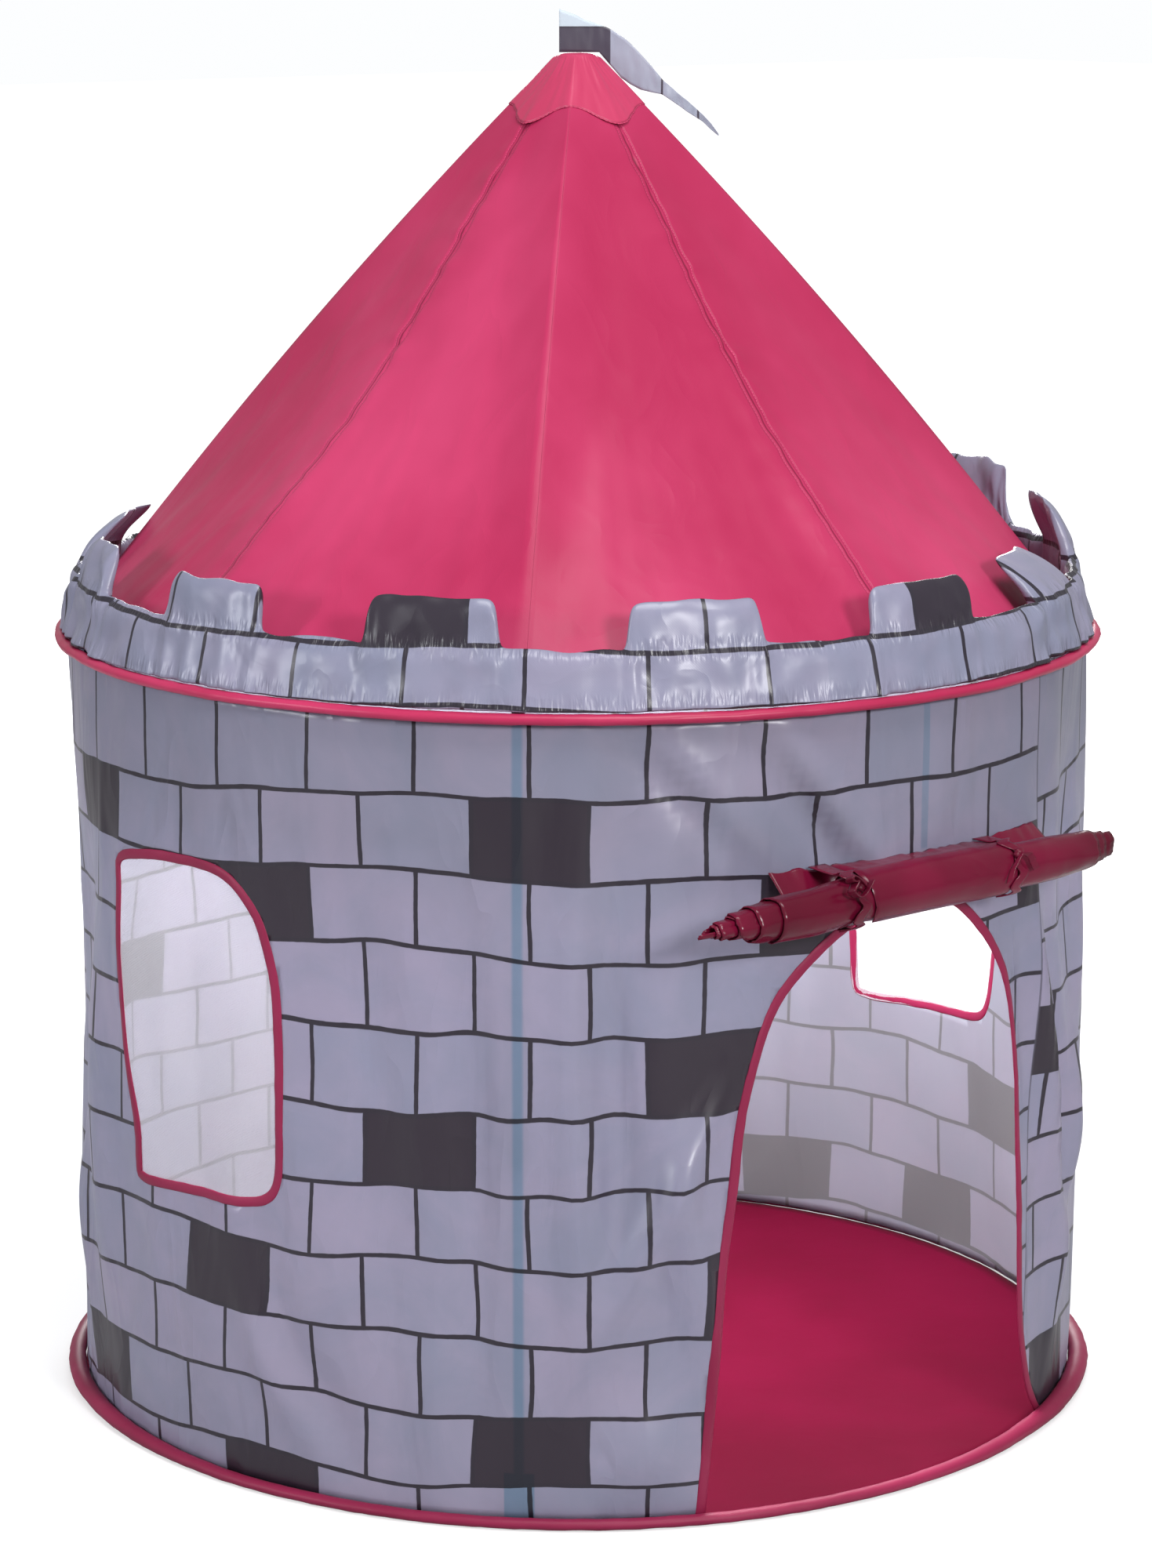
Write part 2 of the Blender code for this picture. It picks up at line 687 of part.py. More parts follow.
def bored(body, name, runs):
    """Cut round bores for rods along runs between points."""
    diameter = ROD_DIAMETER + 2 * BORE_CLEARANCE
    for number, (start, end) in enumerate(runs):
        combine(body, cutting_rod(name + "_bore_" + str(number), start, end, diameter), "DIFFERENCE")
    return body


def pattern_mesh(obj):
    """Applied mesh of a pattern piece, in the tent's space; the piece itself goes."""
    bpy.context.view_layer.update()
    mesh = mesh_of(obj)
    mesh.transform(obj.matrix_world)
    bpy.data.objects.remove(obj, do_unlink=True)
    smooth(mesh)
    return mesh


def wall_ferrule_height():
    return (ROD_FOOT + ELBOW_HEIGHT - ELBOW_ARM + SOCKET_DEPTH) / 2


def wall_rod_meshes():
    middle = wall_ferrule_height()
    top = ELBOW_HEIGHT - ELBOW_ARM + SOCKET_DEPTH
    runs = (("wall_rod_lower", ROD_FOOT, middle - ROD_END_GAP / 2),
            ("wall_rod_upper", middle + ROD_END_GAP / 2, top))
    for name, low, high in runs:
        ends = [around(0.0, POLE_RADIUS, low), around(0.0, POLE_RADIUS, high)]
        yield name, pattern_mesh(tube(name, ends, ROD_DIAMETER, ROD_PLASTIC))


def roof_rod_meshes():
    gap = roof_share(ROD_END_GAP / 2)
    socket = roof_share(ELBOW_ARM - SOCKET_DEPTH)
    runs = (("roof_rod_lower", socket, 0.5 - gap), ("roof_rod_upper", 0.5 + gap, 1.0))
    for name, low, high in runs:
        shares = [blend(low, high, i / (ROOF_ROD_POINTS - 1)) for i in range(ROOF_ROD_POINTS)]
        points = [on_pole(roof_path(share)[0]) for share in shares]
        yield name, pattern_mesh(tube(name, points, ROD_DIAMETER, ROD_PLASTIC))


def ferrule_mesh(name, middle, along):
    """Sleeve that joins two rods end to end."""
    reach = along * (FERRULE_LENGTH / 2)
    over = along * CUT_OVERRUN
    sleeve = applied(tube(name, [middle - reach, middle + reach], CONNECTOR_DIAMETER,
                          CONNECTOR_PLASTIC, resolution=3))
    return pattern_mesh(bored(sleeve, name, [(middle - reach - over, middle + reach + over)]))


def elbow_mesh():
    """Angled connector from the top of the wall pole into the foot of the roof pole."""
    corner, along, normal = roof_path(0.0)
    up = Vector((0.0, 1.0))
    bend = [corner - up * ELBOW_BEND, corner - up * (ELBOW_BEND / 3),
            corner + along * (ELBOW_BEND / 3), corner + along * ELBOW_BEND]
    path = [corner - up * ELBOW_ARM] + bend + [corner + along * ELBOW_ARM]
    body = applied(tube("elbow", [on_pole(point) for point in path], CONNECTOR_DIAMETER,
                        CONNECTOR_PLASTIC, resolution=3))
    depth = SOCKET_DEPTH + ROD_END_GAP
    runs = []
    for way in (-up, along):
        mouth = on_pole(corner + way * (ELBOW_ARM + CUT_OVERRUN))
        bottom = on_pole(corner + way * (ELBOW_ARM - depth))
        runs.append((mouth, bottom))
    return pattern_mesh(bored(body, "elbow", runs))


def pocket_mesh():
    """Cloth cup on the floor's edge that takes the pole's foot."""
    back = WALL_RADIUS - CLOTH - SEAT_GAP
    front = POLE_RADIUS - ROD_DIAMETER / 2 - BORE_CLEARANCE - POCKET_CLOTH
    half = POCKET_WIDTH / 2
    corner = (back - front) * POCKET_CORNER_SHARE
    wall_turn = math.tan(math.radians(STEP_ANGLE / 2))
    outline = [(-half, -(back - half * wall_turn)), (0.0, -back), (half, -(back - half * wall_turn)),
               (half, -front - corner), (half - corner, -front), (corner - half, -front),
               (-half, -front - corner)]
    cup = flat_outline("pole_pocket", [outline], POCKET_HEIGHT, GREY_CLOTH)
    cup.location = (0.0, 0.0, POCKET_BOTTOM + POCKET_HEIGHT / 2)
    cup = applied(cup)
    top = around(0.0, POLE_RADIUS, POCKET_BOTTOM + POCKET_HEIGHT + CUT_OVERRUN)
    bottom = around(0.0, POLE_RADIUS, POCKET_BOTTOM + POCKET_CLOTH)
    return pattern_mesh(bored(cup, "pole_pocket", [(top, bottom)]))


def make_poles():
    middle = around(0.0, POLE_RADIUS, wall_ferrule_height())
    meshes = dict(wall_rod_meshes())
    meshes.update(dict(roof_rod_meshes()))
    meshes["wall_ferrule"] = ferrule_mesh("wall_ferrule", middle, Vector((0.0, 0.0, 1.0)))
    point, along, normal = roof_path(0.5)
    along = on_pole(along)
    meshes["roof_ferrule"] = ferrule_mesh("roof_ferrule", on_pole(point), along)
    meshes["elbow"] = elbow_mesh()
    meshes["pole_pocket"] = pocket_mesh()
    for place, azimuth in POLES:
        stand = bpy.data.objects.new("pole_" + place, None)
        PARTS.objects.link(stand)
        stand.rotation_euler.z = math.radians(azimuth)
        for name, mesh in meshes.items():
            piece = add_object(name + "_" + place, mesh, None)
            piece.parent = stand


def make_hub():
    """Four-way connector under the peak."""
    top = PEAK_HEIGHT - CLOTH - SEAT_GAP
    bpy.ops.mesh.primitive_cylinder_add(
        vertices=HUB_SIDES, radius=HUB_RADIUS, depth=HUB_BODY_LENGTH,
        location=(0.0, 0.0, top - HUB_BODY_LENGTH / 2))
    hub = bpy.context.object
    hub.name = "apex_hub"
    hub.data.materials.append(CONNECTOR_PLASTIC)
    for group in list(hub.users_collection):
        group.objects.unlink(hub)
    PARTS.objects.link(hub)
    head, along, normal = roof_path(1.0)
    mouth = head - along * SOCKET_DEPTH
    root = head + along * (head.x - HUB_RADIUS / 2)
    floor = head + along * ROD_END_GAP
    for place, azimuth in POLES:
        arm = tube("hub_arm_" + place, [on_pole(mouth), on_pole(root)], CONNECTOR_DIAMETER,
                   None, resolution=3, group=CUTTERS)
        arm.rotation_euler.z = math.radians(azimuth)
        combine(hub, hide_cutter(applied(arm, CUTTERS)), "UNION")
    for place, azimuth in POLES:
        start = around(azimuth, (mouth - along * CUT_OVERRUN).x, (mouth - along * CUT_OVERRUN).y)
        end = around(azimuth, floor.x, floor.y)
        bored(hub, "hub_" + place, [(start, end)])


# Roof

def ridge_point(share):
    """Outer face of the roof over a pole, as radius and height."""
    point, along, normal = roof_path(share)
    return point + normal * RIDGE_SEAT


def ridge_share(reached):
    """Share of the rod's path where a test of the ridge point above it first holds."""
    low, high = -RIDGE_SEARCH_SHARE, 1.0 + RIDGE_SEARCH_SHARE
    for step in range(RIDGE_SEARCH_STEPS):
        middle = (low + high) / 2
        if reached(ridge_point(middle)):
            high = middle
        else:
            low = middle
    return (low + high) / 2


def ridge_radius(height):
    """Distance of the ridge from the axis at a height."""
    return ridge_point(ridge_share(lambda point: point.y >= height)).x


def ridge_height(radius):
    """Height of the ridge at a distance from the axis, level over the peak."""
    if radius <= PEAK_RADIUS:
        return PEAK_HEIGHT
    return min(ridge_point(ridge_share(lambda point: point.x <= radius)).y, PEAK_HEIGHT)


def roof_radius(azimuth, height):
    """Distance of the roof's outer face from the axis: ridges at the poles, seams between."""
    ridge = ridge_radius(height)
    up = (height - RIM_TOP) / (PEAK_HEIGHT - RIM_TOP)
    seam = ridge * read_shares(SEAM_DRAW_SHARES, up)
    from_ridge = min(angle_between(azimuth, pole) for name, pole in POLES)
    turn = math.radians(from_ridge)
    span = math.radians(POLE_HALF_PITCH)
    flat = math.sin(span) / (math.sin(span - turn) / ridge + math.sin(turn) / seam)
    rounded = blend(ridge, seam, smooth_step(from_ridge / POLE_HALF_PITCH))
    return blend(rounded, flat, smooth_step(up / ROUND_RIM_SHARE))


def gore_sheet(name, profile, steps):
    sheet = applied(turned(name, profile, ROOF_PINK, steps=steps, closed=False))
    for vertex in sheet.data.vertices:
        height = vertex.co.z
        if height < PEAK_HEIGHT - SEAT_GAP:
            azimuth = azimuth_of(vertex.co)
            radius = max(roof_radius(azimuth, height), PEAK_RADIUS)
            vertex.co = around(azimuth, radius, height)
    thicken(sheet, CLOTH)
    return sheet


def make_roof():
    foot = RIM_TOP + CLOTH
    head = CAP_HEM_HEIGHT - SEAT_GAP
    heights = [blend(head, foot, share) for share in ROOF_ROW_SHARES]
    gore_sheet("roof_canopy", [(ridge_radius(height), height) for height in heights], RING_STEPS)

    heights = [blend(PEAK_HEIGHT, CAP_HEM_HEIGHT, 1.0 - share) for share in CAP_ROW_SHARES]
    lower = [(ridge_radius(height), height) for height in heights[::-1]]
    profile = [(0.0, PEAK_HEIGHT), (PEAK_RADIUS, PEAK_HEIGHT)] + lower
    gore_sheet("apex_cap", profile, CAP_STEPS)


# Battlement

def band_section(azimuth, tooth_share, flop):
    """Closed section through the padded band, or band and tooth, at an azimuth."""
    foot = RIM_TOP + SEAT_GAP
    top = BAND_HEIGHT + TOOTH_HEIGHT * tooth_share
    neck = BAND_HEIGHT * BAND_NECK_SHARE
    belly = BAND_HEIGHT * BAND_BELLY_SHARE
    top_lean = BAND_LEAN + (TOOTH_LEAN + TOOTH_HEIGHT * flop) * tooth_share
    neck_lean = BAND_LEAN * BAND_NECK_SHARE
    belly_lean = BAND_LEAN * BAND_BELLY_SHARE
    levels = (
        (0.0, 0.0, BAND_FOOT_THICKNESS), (belly, belly_lean, BAND_THICKNESS),
        (neck, neck_lean, TOOTH_THICKNESS), (top, top_lean, BAND_EDGE_THICKNESS),
    )
    outside = [around(azimuth, BAND_FOOT_RADIUS - lean + thick / 2, foot + rise)
               for rise, lean, thick in levels]
    inside = [around(azimuth, BAND_FOOT_RADIUS - lean - thick / 2, foot + rise)
              for rise, lean, thick in levels]
    return outside + inside[::-1]


def make_battlement():
    pitch = 360.0 / TOOTH_COUNT
    rows = []
    for tooth in range(TOOTH_COUNT):
        start = TOOTH_AZIMUTH + pitch * tooth - pitch / 2
        for place, height_share in TOOTH_OUTLINE_SHARES:
            azimuth = start + pitch * place
            rows.append(band_section(azimuth, height_share, TOOTH_FLOP_SHARES[tooth]))
    bm, grid = mesh_from_rows(rows, closed_ring=True)
    add_object("battlement_band", finish_mesh(bm, "battlement_band"), STONE_PRINT)


# Rolled door, drawn about the seam that it hangs from

def add_hinge(name, location):
    hinge = bpy.data.objects.new(name, None)
    PARTS.objects.link(hinge)
    hinge.location = location
    return hinge


def roll_centre():
    return Vector((0.0, -(ROLL_OUTSIDE + ROLL_STANDOFF), -ROLL_DROP))


def round_roll(angle, radius, across=0.0):
    """Point round the roll's axis: 0 faces away from the tent and 90 is its top."""
    turn = math.radians(angle)
    return roll_centre() + Vector((across, -radius * math.cos(turn), radius * math.sin(turn)))


def roll_points(side, station, girth):
    """One side of the wound cloth at a place along the roll, from its outer end inward."""
    count = ROLL_TURNS * ROLL_POINTS_PER_TURN
    points = []
    for i in range(count + 1):
        inward = i / count
        left = -blend(ROLL_OUTER_LEFT, ROLL_CORE_LEFT, inward)
        right = blend(ROLL_OUTER_RIGHT, ROLL_CORE_RIGHT, inward)
        radius = (ROLL_RADIUS - (ROLL_RADIUS - ROLL_CORE_RADIUS) * inward) * girth
        angle = 180.0 + 360.0 * ROLL_TURNS * inward
        points.append(round_roll(angle, radius + side * ROLL_CLOTH / 2, blend(left, right, station)))
    return points


def make_roll(hinge):
    rows = []
    for station, girth in ROLL_GIRTH_SHARES:
        rows.append(roll_points(1.0, station, girth) + roll_points(-1.0, station, girth)[::-1])
    bm, grid = mesh_from_rows(rows)
    count = len(grid[0])
    for row in (grid[0], grid[-1]):
        for i in range(count // 2 - 1):
            bm.faces.new((row[i], row[i + 1], row[count - 2 - i], row[count - 1 - i]))
    roll = add_object("door_roll", finish_mesh(bm, "door_roll"), MAROON)
    roll.parent = hinge


def wall_back(across):
    """How far the round wall lies behind the hinge line at a place along it."""
    hinge_radius = WALL_RADIUS + SEAT_GAP
    return hinge_radius - math.sqrt(hinge_radius ** 2 - across ** 2)


def make_header(hinge):
    """Strip of door cloth from the seam on the wall down to the back of the roll."""
    left = WALL_RADIUS * math.sin(math.radians(HEADER_LEFT_AZIMUTH))
    right = WALL_RADIUS * math.sin(math.radians(HEADER_RIGHT_AZIMUTH))
    rows = []
    low = round_roll(180.0, ROLL_RADIUS)
    for i in range(HEADER_STEPS + 1):
        across = blend(left, right, i / HEADER_STEPS)
        back = wall_back(across) - ROLL_CLOTH / 2
        top = Vector((across, back, -HEADER_TOP_DROP))
        foot = Vector((across, low.y, low.z + ROLL_CLOTH / 2 + SEAT_GAP))
        half = Vector((0.0, ROLL_CLOTH / 2, 0.0))
        rows.append([top - half, foot - half, foot + half, top + half])
    bm, grid = mesh_from_rows(rows)
    bm.faces.new(grid[0])
    bm.faces.new(grid[-1])
    header = add_object("door_header", finish_mesh(bm, "door_header"), MAROON)
    header.parent = hinge


def ribbon(name, path, across, hinge):
    """Flat ribbon along a path seen from the roll's end, as thick as the ties."""
    half = TIE_THICKNESS / 2
    upper, lower = [], []
    for i, point in enumerate(path):
        before = path[max(i - 1, 0)]
        after = path[min(i + 1, len(path) - 1)]
        along = (after - before).normalized()
        normal = Vector((0.0, -along.z, along.y))
        upper.append(point + normal * half)
        lower.append(point - normal * half)
    outline = [(point.y, point.z) for point in upper + lower[::-1]]
    tie = flat_outline(name, [outline], TIE_WIDTH, MAROON)
    tie.rotation_euler = (math.radians(90.0), 0.0, math.radians(90.0))
    tie.location = (across, 0.0, 0.0)
    tie.parent = hinge


def make_ties(hinge):
    half_header = WALL_RADIUS * math.sin(math.radians(HEADER_RIGHT_AZIMUTH))
    radius = ROLL_OUTSIDE + SEAT_GAP + TIE_THICKNESS / 2
    meeting_gap = math.degrees(SEAT_GAP / radius)
    for side, place_share in TIE_PLACE_SHARES:
        across = half_header * place_share
        back = wall_back(abs(across) - TIE_WIDTH / 2) - TIE_WALL_GAP
        front_turns = [blend(TIE_FRONT_LIFT_ANGLE, TIE_MEETING_ANGLE, i / TIE_ARC_STEPS)
                       for i in range(TIE_ARC_STEPS + 1)]
        front = [Vector((0.0, back, 0.0))] + [round_roll(turn, radius) for turn in front_turns]
        ribbon("tie_front_" + side, front, across, hinge)
        meeting = 360.0 + TIE_MEETING_ANGLE - 2 * meeting_gap
        back_turns = [blend(meeting, TIE_BACK_LIFT_ANGLE, i / TIE_ARC_STEPS)
                      for i in range(TIE_ARC_STEPS + 1)]
        rear = [round_roll(turn, radius) for turn in back_turns]
        rear.append(Vector((0.0, back, -TIE_BACK_DROP)))
        ribbon("tie_back_" + side, rear, across, hinge)


def make_rolled_door():
    hinge = add_hinge("door_hinge", around(0.0, WALL_RADIUS + SEAT_GAP, HEADER_HEIGHT))
    make_roll(hinge)
    make_header(hinge)
    make_ties(hinge)


# Pennant

def flag_edges(place, top, bottom):
    """Heights of the pennant's edges over its hinge at a place along it, clear of the peak."""
    edges = [max(edge, 0.0) * FLAG_HOIST + min(edge, 0.0) * FLAG_DROOP for edge in (top, bottom)]
    beyond_axis = FLAG_LENGTH * place - PEAK_RADIUS
    if beyond_axis > PEAK_RADIUS:
        shoulder = ridge_height(beyond_axis - FLAG_SWING_GAP) - PEAK_HEIGHT + FLAG_SWING_GAP
        edges[1] = max(edges[1], shoulder)
    return edges


def make_flag():
    """Drooping pennant that swings about its upright hoist."""
    hoist = around(FLAG_AZIMUTH, -PEAK_RADIUS, PEAK_HEIGHT + SEAT_GAP)
    hinge = add_hinge("flag_hinge", hoist)
    hinge.rotation_euler.z = math.radians(FLAG_AZIMUTH)
    half = FLAG_THICKNESS / 2
    rows = []
    for place, top_share, bottom_share in FLAG_EDGE_SHARES:
        out = FLAG_LENGTH * place
        wave = FLAG_WAVE * place * math.sin(2.0 * math.pi * FLAG_WAVE_COUNT * place)
        top, bottom = flag_edges(place, top_share, bottom_share)
        rows.append([Vector((wave - half, -out, top)), Vector((wave - half, -out, bottom)),
                     Vector((wave + half, -out, bottom)), Vector((wave + half, -out, top))])
    bm, grid = mesh_from_rows(rows)
    bm.faces.new(grid[0])
    bm.faces.new(grid[-1])
    flag = add_object("flag", finish_mesh(bm, "flag"), STONE_PRINT)
    flag.parent = hinge


# The tent

make_hoop("base", BASE_HEIGHT)
make_hoop("rim", RIM_HEIGHT)
make_sleeve("base_sleeve", BASE_HEIGHT, MAROON)
make_sleeve("rim_sleeve", RIM_HEIGHT, ROOF_PINK)
make_floor()
make_wall()
make_door_binding()
for window_side, window_azimuth in WINDOWS:
    make_window(window_side, window_azimuth)
for tape_side, tape_azimuth in TAPES:
    make_tape(tape_side, tape_azimuth)
make_poles()
make_hub()
make_roof()
make_battlement()
make_rolled_door()
make_flag()
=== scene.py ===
# %% [markdown]
# # A castle play tent, dressed over its CAD frame
# The real object is a small round tent: printed polyester walls between two spring hoops, a pink
# roof over four bent poles, a padded battlement, and a door flap rolled up over the doorway.
# The imported CAD model is loaded first as a fixed frame, so every soft piece made below has an
# exact place to go to. The dressed tent must not outgrow it.

# %% Load the frame
import math
from contextlib import contextmanager

import bmesh
import bpy
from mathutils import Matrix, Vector, noise


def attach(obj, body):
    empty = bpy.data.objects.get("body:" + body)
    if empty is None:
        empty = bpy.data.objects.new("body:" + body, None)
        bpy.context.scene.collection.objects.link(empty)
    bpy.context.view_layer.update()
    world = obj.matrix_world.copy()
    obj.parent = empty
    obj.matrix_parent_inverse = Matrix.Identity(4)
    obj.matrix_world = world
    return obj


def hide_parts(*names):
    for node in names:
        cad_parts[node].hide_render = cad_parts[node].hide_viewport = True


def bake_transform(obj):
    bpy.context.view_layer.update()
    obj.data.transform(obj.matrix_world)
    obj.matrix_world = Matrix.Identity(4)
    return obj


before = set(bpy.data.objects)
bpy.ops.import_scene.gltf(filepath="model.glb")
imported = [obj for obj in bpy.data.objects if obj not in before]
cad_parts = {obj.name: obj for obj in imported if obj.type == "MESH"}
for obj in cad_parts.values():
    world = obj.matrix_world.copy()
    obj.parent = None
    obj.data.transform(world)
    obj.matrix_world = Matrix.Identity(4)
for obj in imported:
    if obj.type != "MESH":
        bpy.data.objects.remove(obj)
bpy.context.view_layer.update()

# %% [markdown]
# ## Sizes shared with the frame
# A maker would read these off the pattern sheet. They repeat the CAD part's own sizes, in metres,
# because cloth that replaces a CAD sheet has to hang in the same place. The door faces -Y, and an
# azimuth is a turn in degrees about the tent's axis from the door towards +X. The short functions
# below are the measures and the noise that all the cloths share.

# %% Tent sizes
# Rounds are distances from the axis, and heights are from the ground.
WALL_ROUND = 0.512
WALL_MIDDLE = 0.5112
WALL_FOOT = 0.0045
WALL_HEAD = 0.7640
HOOP_ROUND = 0.520
RIM_HEIGHT = 0.7665
RIM_TOP = 0.77185
PEAK = 1.336
PEAK_ROUND = 0.0175
CAP_HEM = 1.283
POLES = (-135.0, -45.0, 45.0, 135.0)
SEAMS = (-90.0, 0.0, 90.0, 180.0)
WALL_SEAM = 20.5
BAND_TALL = 0.0545


def tent_point(azimuth, radius, height):
    """A point by azimuth in degrees, distance from the axis and height."""
    turn = math.radians(azimuth)
    return Vector((radius * math.sin(turn), -radius * math.cos(turn), height))


def mix(low, high, share):
    return low + (high - low) * share


def ease(share):
    """0 to 1 with soft ends."""
    share = min(max(share, 0.0), 1.0)
    return share * share * (3.0 - 2.0 * share)


def turn_between(first, second):
    """Degrees between two azimuths, whichever way is shorter."""
    return abs((first - second + 180.0) % 360.0 - 180.0)


def pole_turn(azimuth):
    """Degrees to the nearest pole."""
    return min(turn_between(azimuth, pole) for pole in POLES)


def set_back(x):
    """How far the round wall lies behind its foremost line, x to the side of it."""
    return WALL_ROUND - math.sqrt(WALL_ROUND ** 2 - x ** 2)


def from_table(table, place):
    """Value between the entries of a table of (place, value)."""
    for (start, low), (end, high) in zip(table, table[1:]):
        if place <= end:
            return mix(low, high, max(place - start, 0.0) / (end - start))
    return table[-1][1]


def hump(distance, width):
    """Bell curve: 1 at no distance, about a third at the width and then soon nothing."""
    return math.exp(-(distance / width) ** 2)


def ripple(x, y, z):
    """Smooth noise from -1 to 1, the same on every run."""
    return noise.noise(Vector((x, y, z)))


def ripple_at(spot, fine, level):
    """Noise that closes round the tent, at a point of its circle; fine makes it quicker."""
    return ripple(fine * spot.x, fine * spot.y, level)


print("wall from", WALL_FOOT, "to", WALL_HEAD, "m, peak at", PEAK)

# %% [markdown]
# ## Building cloth
# Cloth is a grid of points carried to its hung shape, then given a fraction of a millimetre of
# thickness with Solidify. Working from rows of points keeps the faces even, so folds shade softly.
# Each sheet also gets a UV map in metres along the cloth, so a print is never stretched.

# %% Cloth helpers
CLOTH_THICK = 0.0007


def only_select(piece):
    bpy.ops.object.select_all(action="DESELECT")
    bpy.context.view_layer.objects.active = piece
    piece.select_set(True)


def apply_all(piece):
    """Apply the modifiers in order, as the modifier panel's Apply does."""
    only_select(piece)
    for change in list(piece.modifiers):
        bpy.ops.object.modifier_apply(modifier=change.name)


def new_piece(name, mesh):
    piece = bpy.data.objects.new(name, mesh)
    bpy.context.scene.collection.objects.link(piece)
    return piece


@contextmanager
def opened(mesh):
    """The mesh opened for editing point by point, and written back when the block ends."""
    editing = bmesh.new()
    editing.from_mesh(mesh)
    yield editing
    editing.to_mesh(mesh)
    editing.free()


def face_outwards(editing):
    bmesh.ops.recalc_face_normals(editing, faces=editing.faces)


def write_uv(mesh, places):
    """UV map in metres, one place for each corner of each face."""
    layer = mesh.uv_layers.new(name="cloth")
    for loop, place in zip(layer.data, places):
        loop.uv = place


def sheet_from_rows(name, rows, cloth_place, finish, ring=False, flip=False):
    """Quads over rows of points; cloth_place(across, up) gives the UV in metres.

    In a ring the last column joins the first, and its UV runs on past the join."""
    wide = len(rows[0])
    spans = wide if ring else wide - 1
    faces, places = [], []
    for up in range(len(rows) - 1):
        for across in range(spans):
            beside = (across + 1) % wide
            corners = [(across, across, up), (beside, across + 1, up),
                       (beside, across + 1, up + 1), (across, across, up + 1)]
            if flip:
                corners.reverse()
            faces.append([row * wide + column for column, _, row in corners])
            places.extend(cloth_place(column, row) for _, column, row in corners)
    mesh = bpy.data.meshes.new(name)
    mesh.from_pydata([point for row in rows for point in row], [], faces)
    write_uv(mesh, places)
    mesh.shade_smooth()
    mesh.materials.append(finish)
    return new_piece(name, mesh)


def fill_ring(piece, start, end=None):
    """Close the ring made by a run of the piece's points with one face."""
    with opened(piece.data) as editing:
        editing.verts.ensure_lookup_table()
        editing.faces.new(editing.verts[start:end])
        face_outwards(editing)
        if sum(face.normal.z for face in editing.faces) < 0.0:
            bmesh.ops.reverse_faces(editing, faces=editing.faces)


def thicken(piece, thickness=CLOTH_THICK, offset=0.0, inner_slot=0):
    cloth = piece.modifiers.new("thickness", "SOLIDIFY")
    cloth.thickness = thickness
    cloth.offset = offset
    cloth.material_offset = inner_slot
    apply_all(piece)


def count_faces(piece):
    print(piece.name, "has", len(piece.data.polygons), "faces")
    return piece


# %% [markdown]
# ## Building materials
# Nodes are wired in code here, so short helpers keep each recipe readable: one adds a node with
# its settings, one adds a math step, and others add a noise, a bump or a mix of colours. Effects
# that several cloths share become node groups, made once and used with each cloth's own values.

# %% Node helpers
def add_node(tree, kind, **settings):
    made = tree.nodes.new(kind)
    for name, value in settings.items():
        setattr(made, name, value)
    return made


def feed(tree, socket, value):
    """Link a socket, or set a plain value."""
    if isinstance(value, bpy.types.NodeSocket):
        tree.links.new(value, socket)
    else:
        socket.default_value = value


def feed_all(tree, node, values):
    for name, value in values.items():
        feed(tree, node.inputs[name], value)


def step(tree, operation, *values):
    """One math node; the result is its output."""
    made = add_node(tree, "ShaderNodeMath", operation=operation)
    for socket, value in zip(made.inputs, values):
        feed(tree, socket, value)
    return made.outputs[0]


def times(tree, first, second):
    return step(tree, "MULTIPLY", first, second)


def minus(tree, first, second):
    return step(tree, "SUBTRACT", first, second)


def off(tree, value, middle):
    """How far a value is from the middle, either way."""
    return step(tree, "ABSOLUTE", minus(tree, value, middle))


def x_and_y(tree, vector):
    parts = add_node(tree, "ShaderNodeSeparateXYZ")
    tree.links.new(vector, parts.inputs[0])
    return parts.outputs["X"], parts.outputs["Y"]


def stretched(tree, vector, scale):
    made = add_node(tree, "ShaderNodeMapping")
    feed_all(tree, made, {"Vector": vector, "Scale": scale})
    return made.outputs[0]


def remap(tree, value, low, high, to_low=0.0, to_high=1.0):
    """Carry a range of values to another one, with soft ends."""
    made = add_node(tree, "ShaderNodeMapRange", interpolation_type="SMOOTHSTEP")
    feed_all(tree, made, {"Value": value, "From Min": low, "From Max": high,
                          "To Min": to_low, "To Max": to_high})
    return made.outputs["Result"]


def mix_colour(tree, share, first, second, blend_type="MIX"):
    """Mix two colours, each a socket or its red, green and blue."""
    made = add_node(tree, "ShaderNodeMix", data_type="RGBA", blend_type=blend_type)
    feed(tree, made.inputs[0], share)
    for socket, colour in ((made.inputs[6], first), (made.inputs[7], second)):
        feed(tree, socket, (*colour, 1.0) if isinstance(colour, tuple) else colour)
    return made.outputs[2]


def cloud(tree, vector, scale, detail=3.0, roughness=0.55, distortion=0.0):
    made = add_node(tree, "ShaderNodeTexNoise")
    feed_all(tree, made, {"Vector": vector, "Scale": scale, "Detail": detail,
                          "Roughness": roughness, "Distortion": distortion})
    return made.outputs["Fac"]


def bump(tree, height, distance, strength=1.0, over=None):
    """Bump of a height, laid over another bump if there is one."""
    made = add_node(tree, "ShaderNodeBump")
    feed_all(tree, made, {"Height": height, "Distance": distance, "Strength": strength})
    if over is not None:
        tree.links.new(over, made.inputs["Normal"])
    return made.outputs[0]


def object_place(tree):
    return add_node(tree, "ShaderNodeTexCoord").outputs["Object"]


def cloth_uv(tree):
    return add_node(tree, "ShaderNodeUVMap", uv_map="cloth").outputs[0]


def start_material(name):
    """New material with its node tree and its Principled shader."""
    made = bpy.data.materials.new(name)
    made.use_nodes = True
    return made, made.node_tree, made.node_tree.nodes["Principled BSDF"]


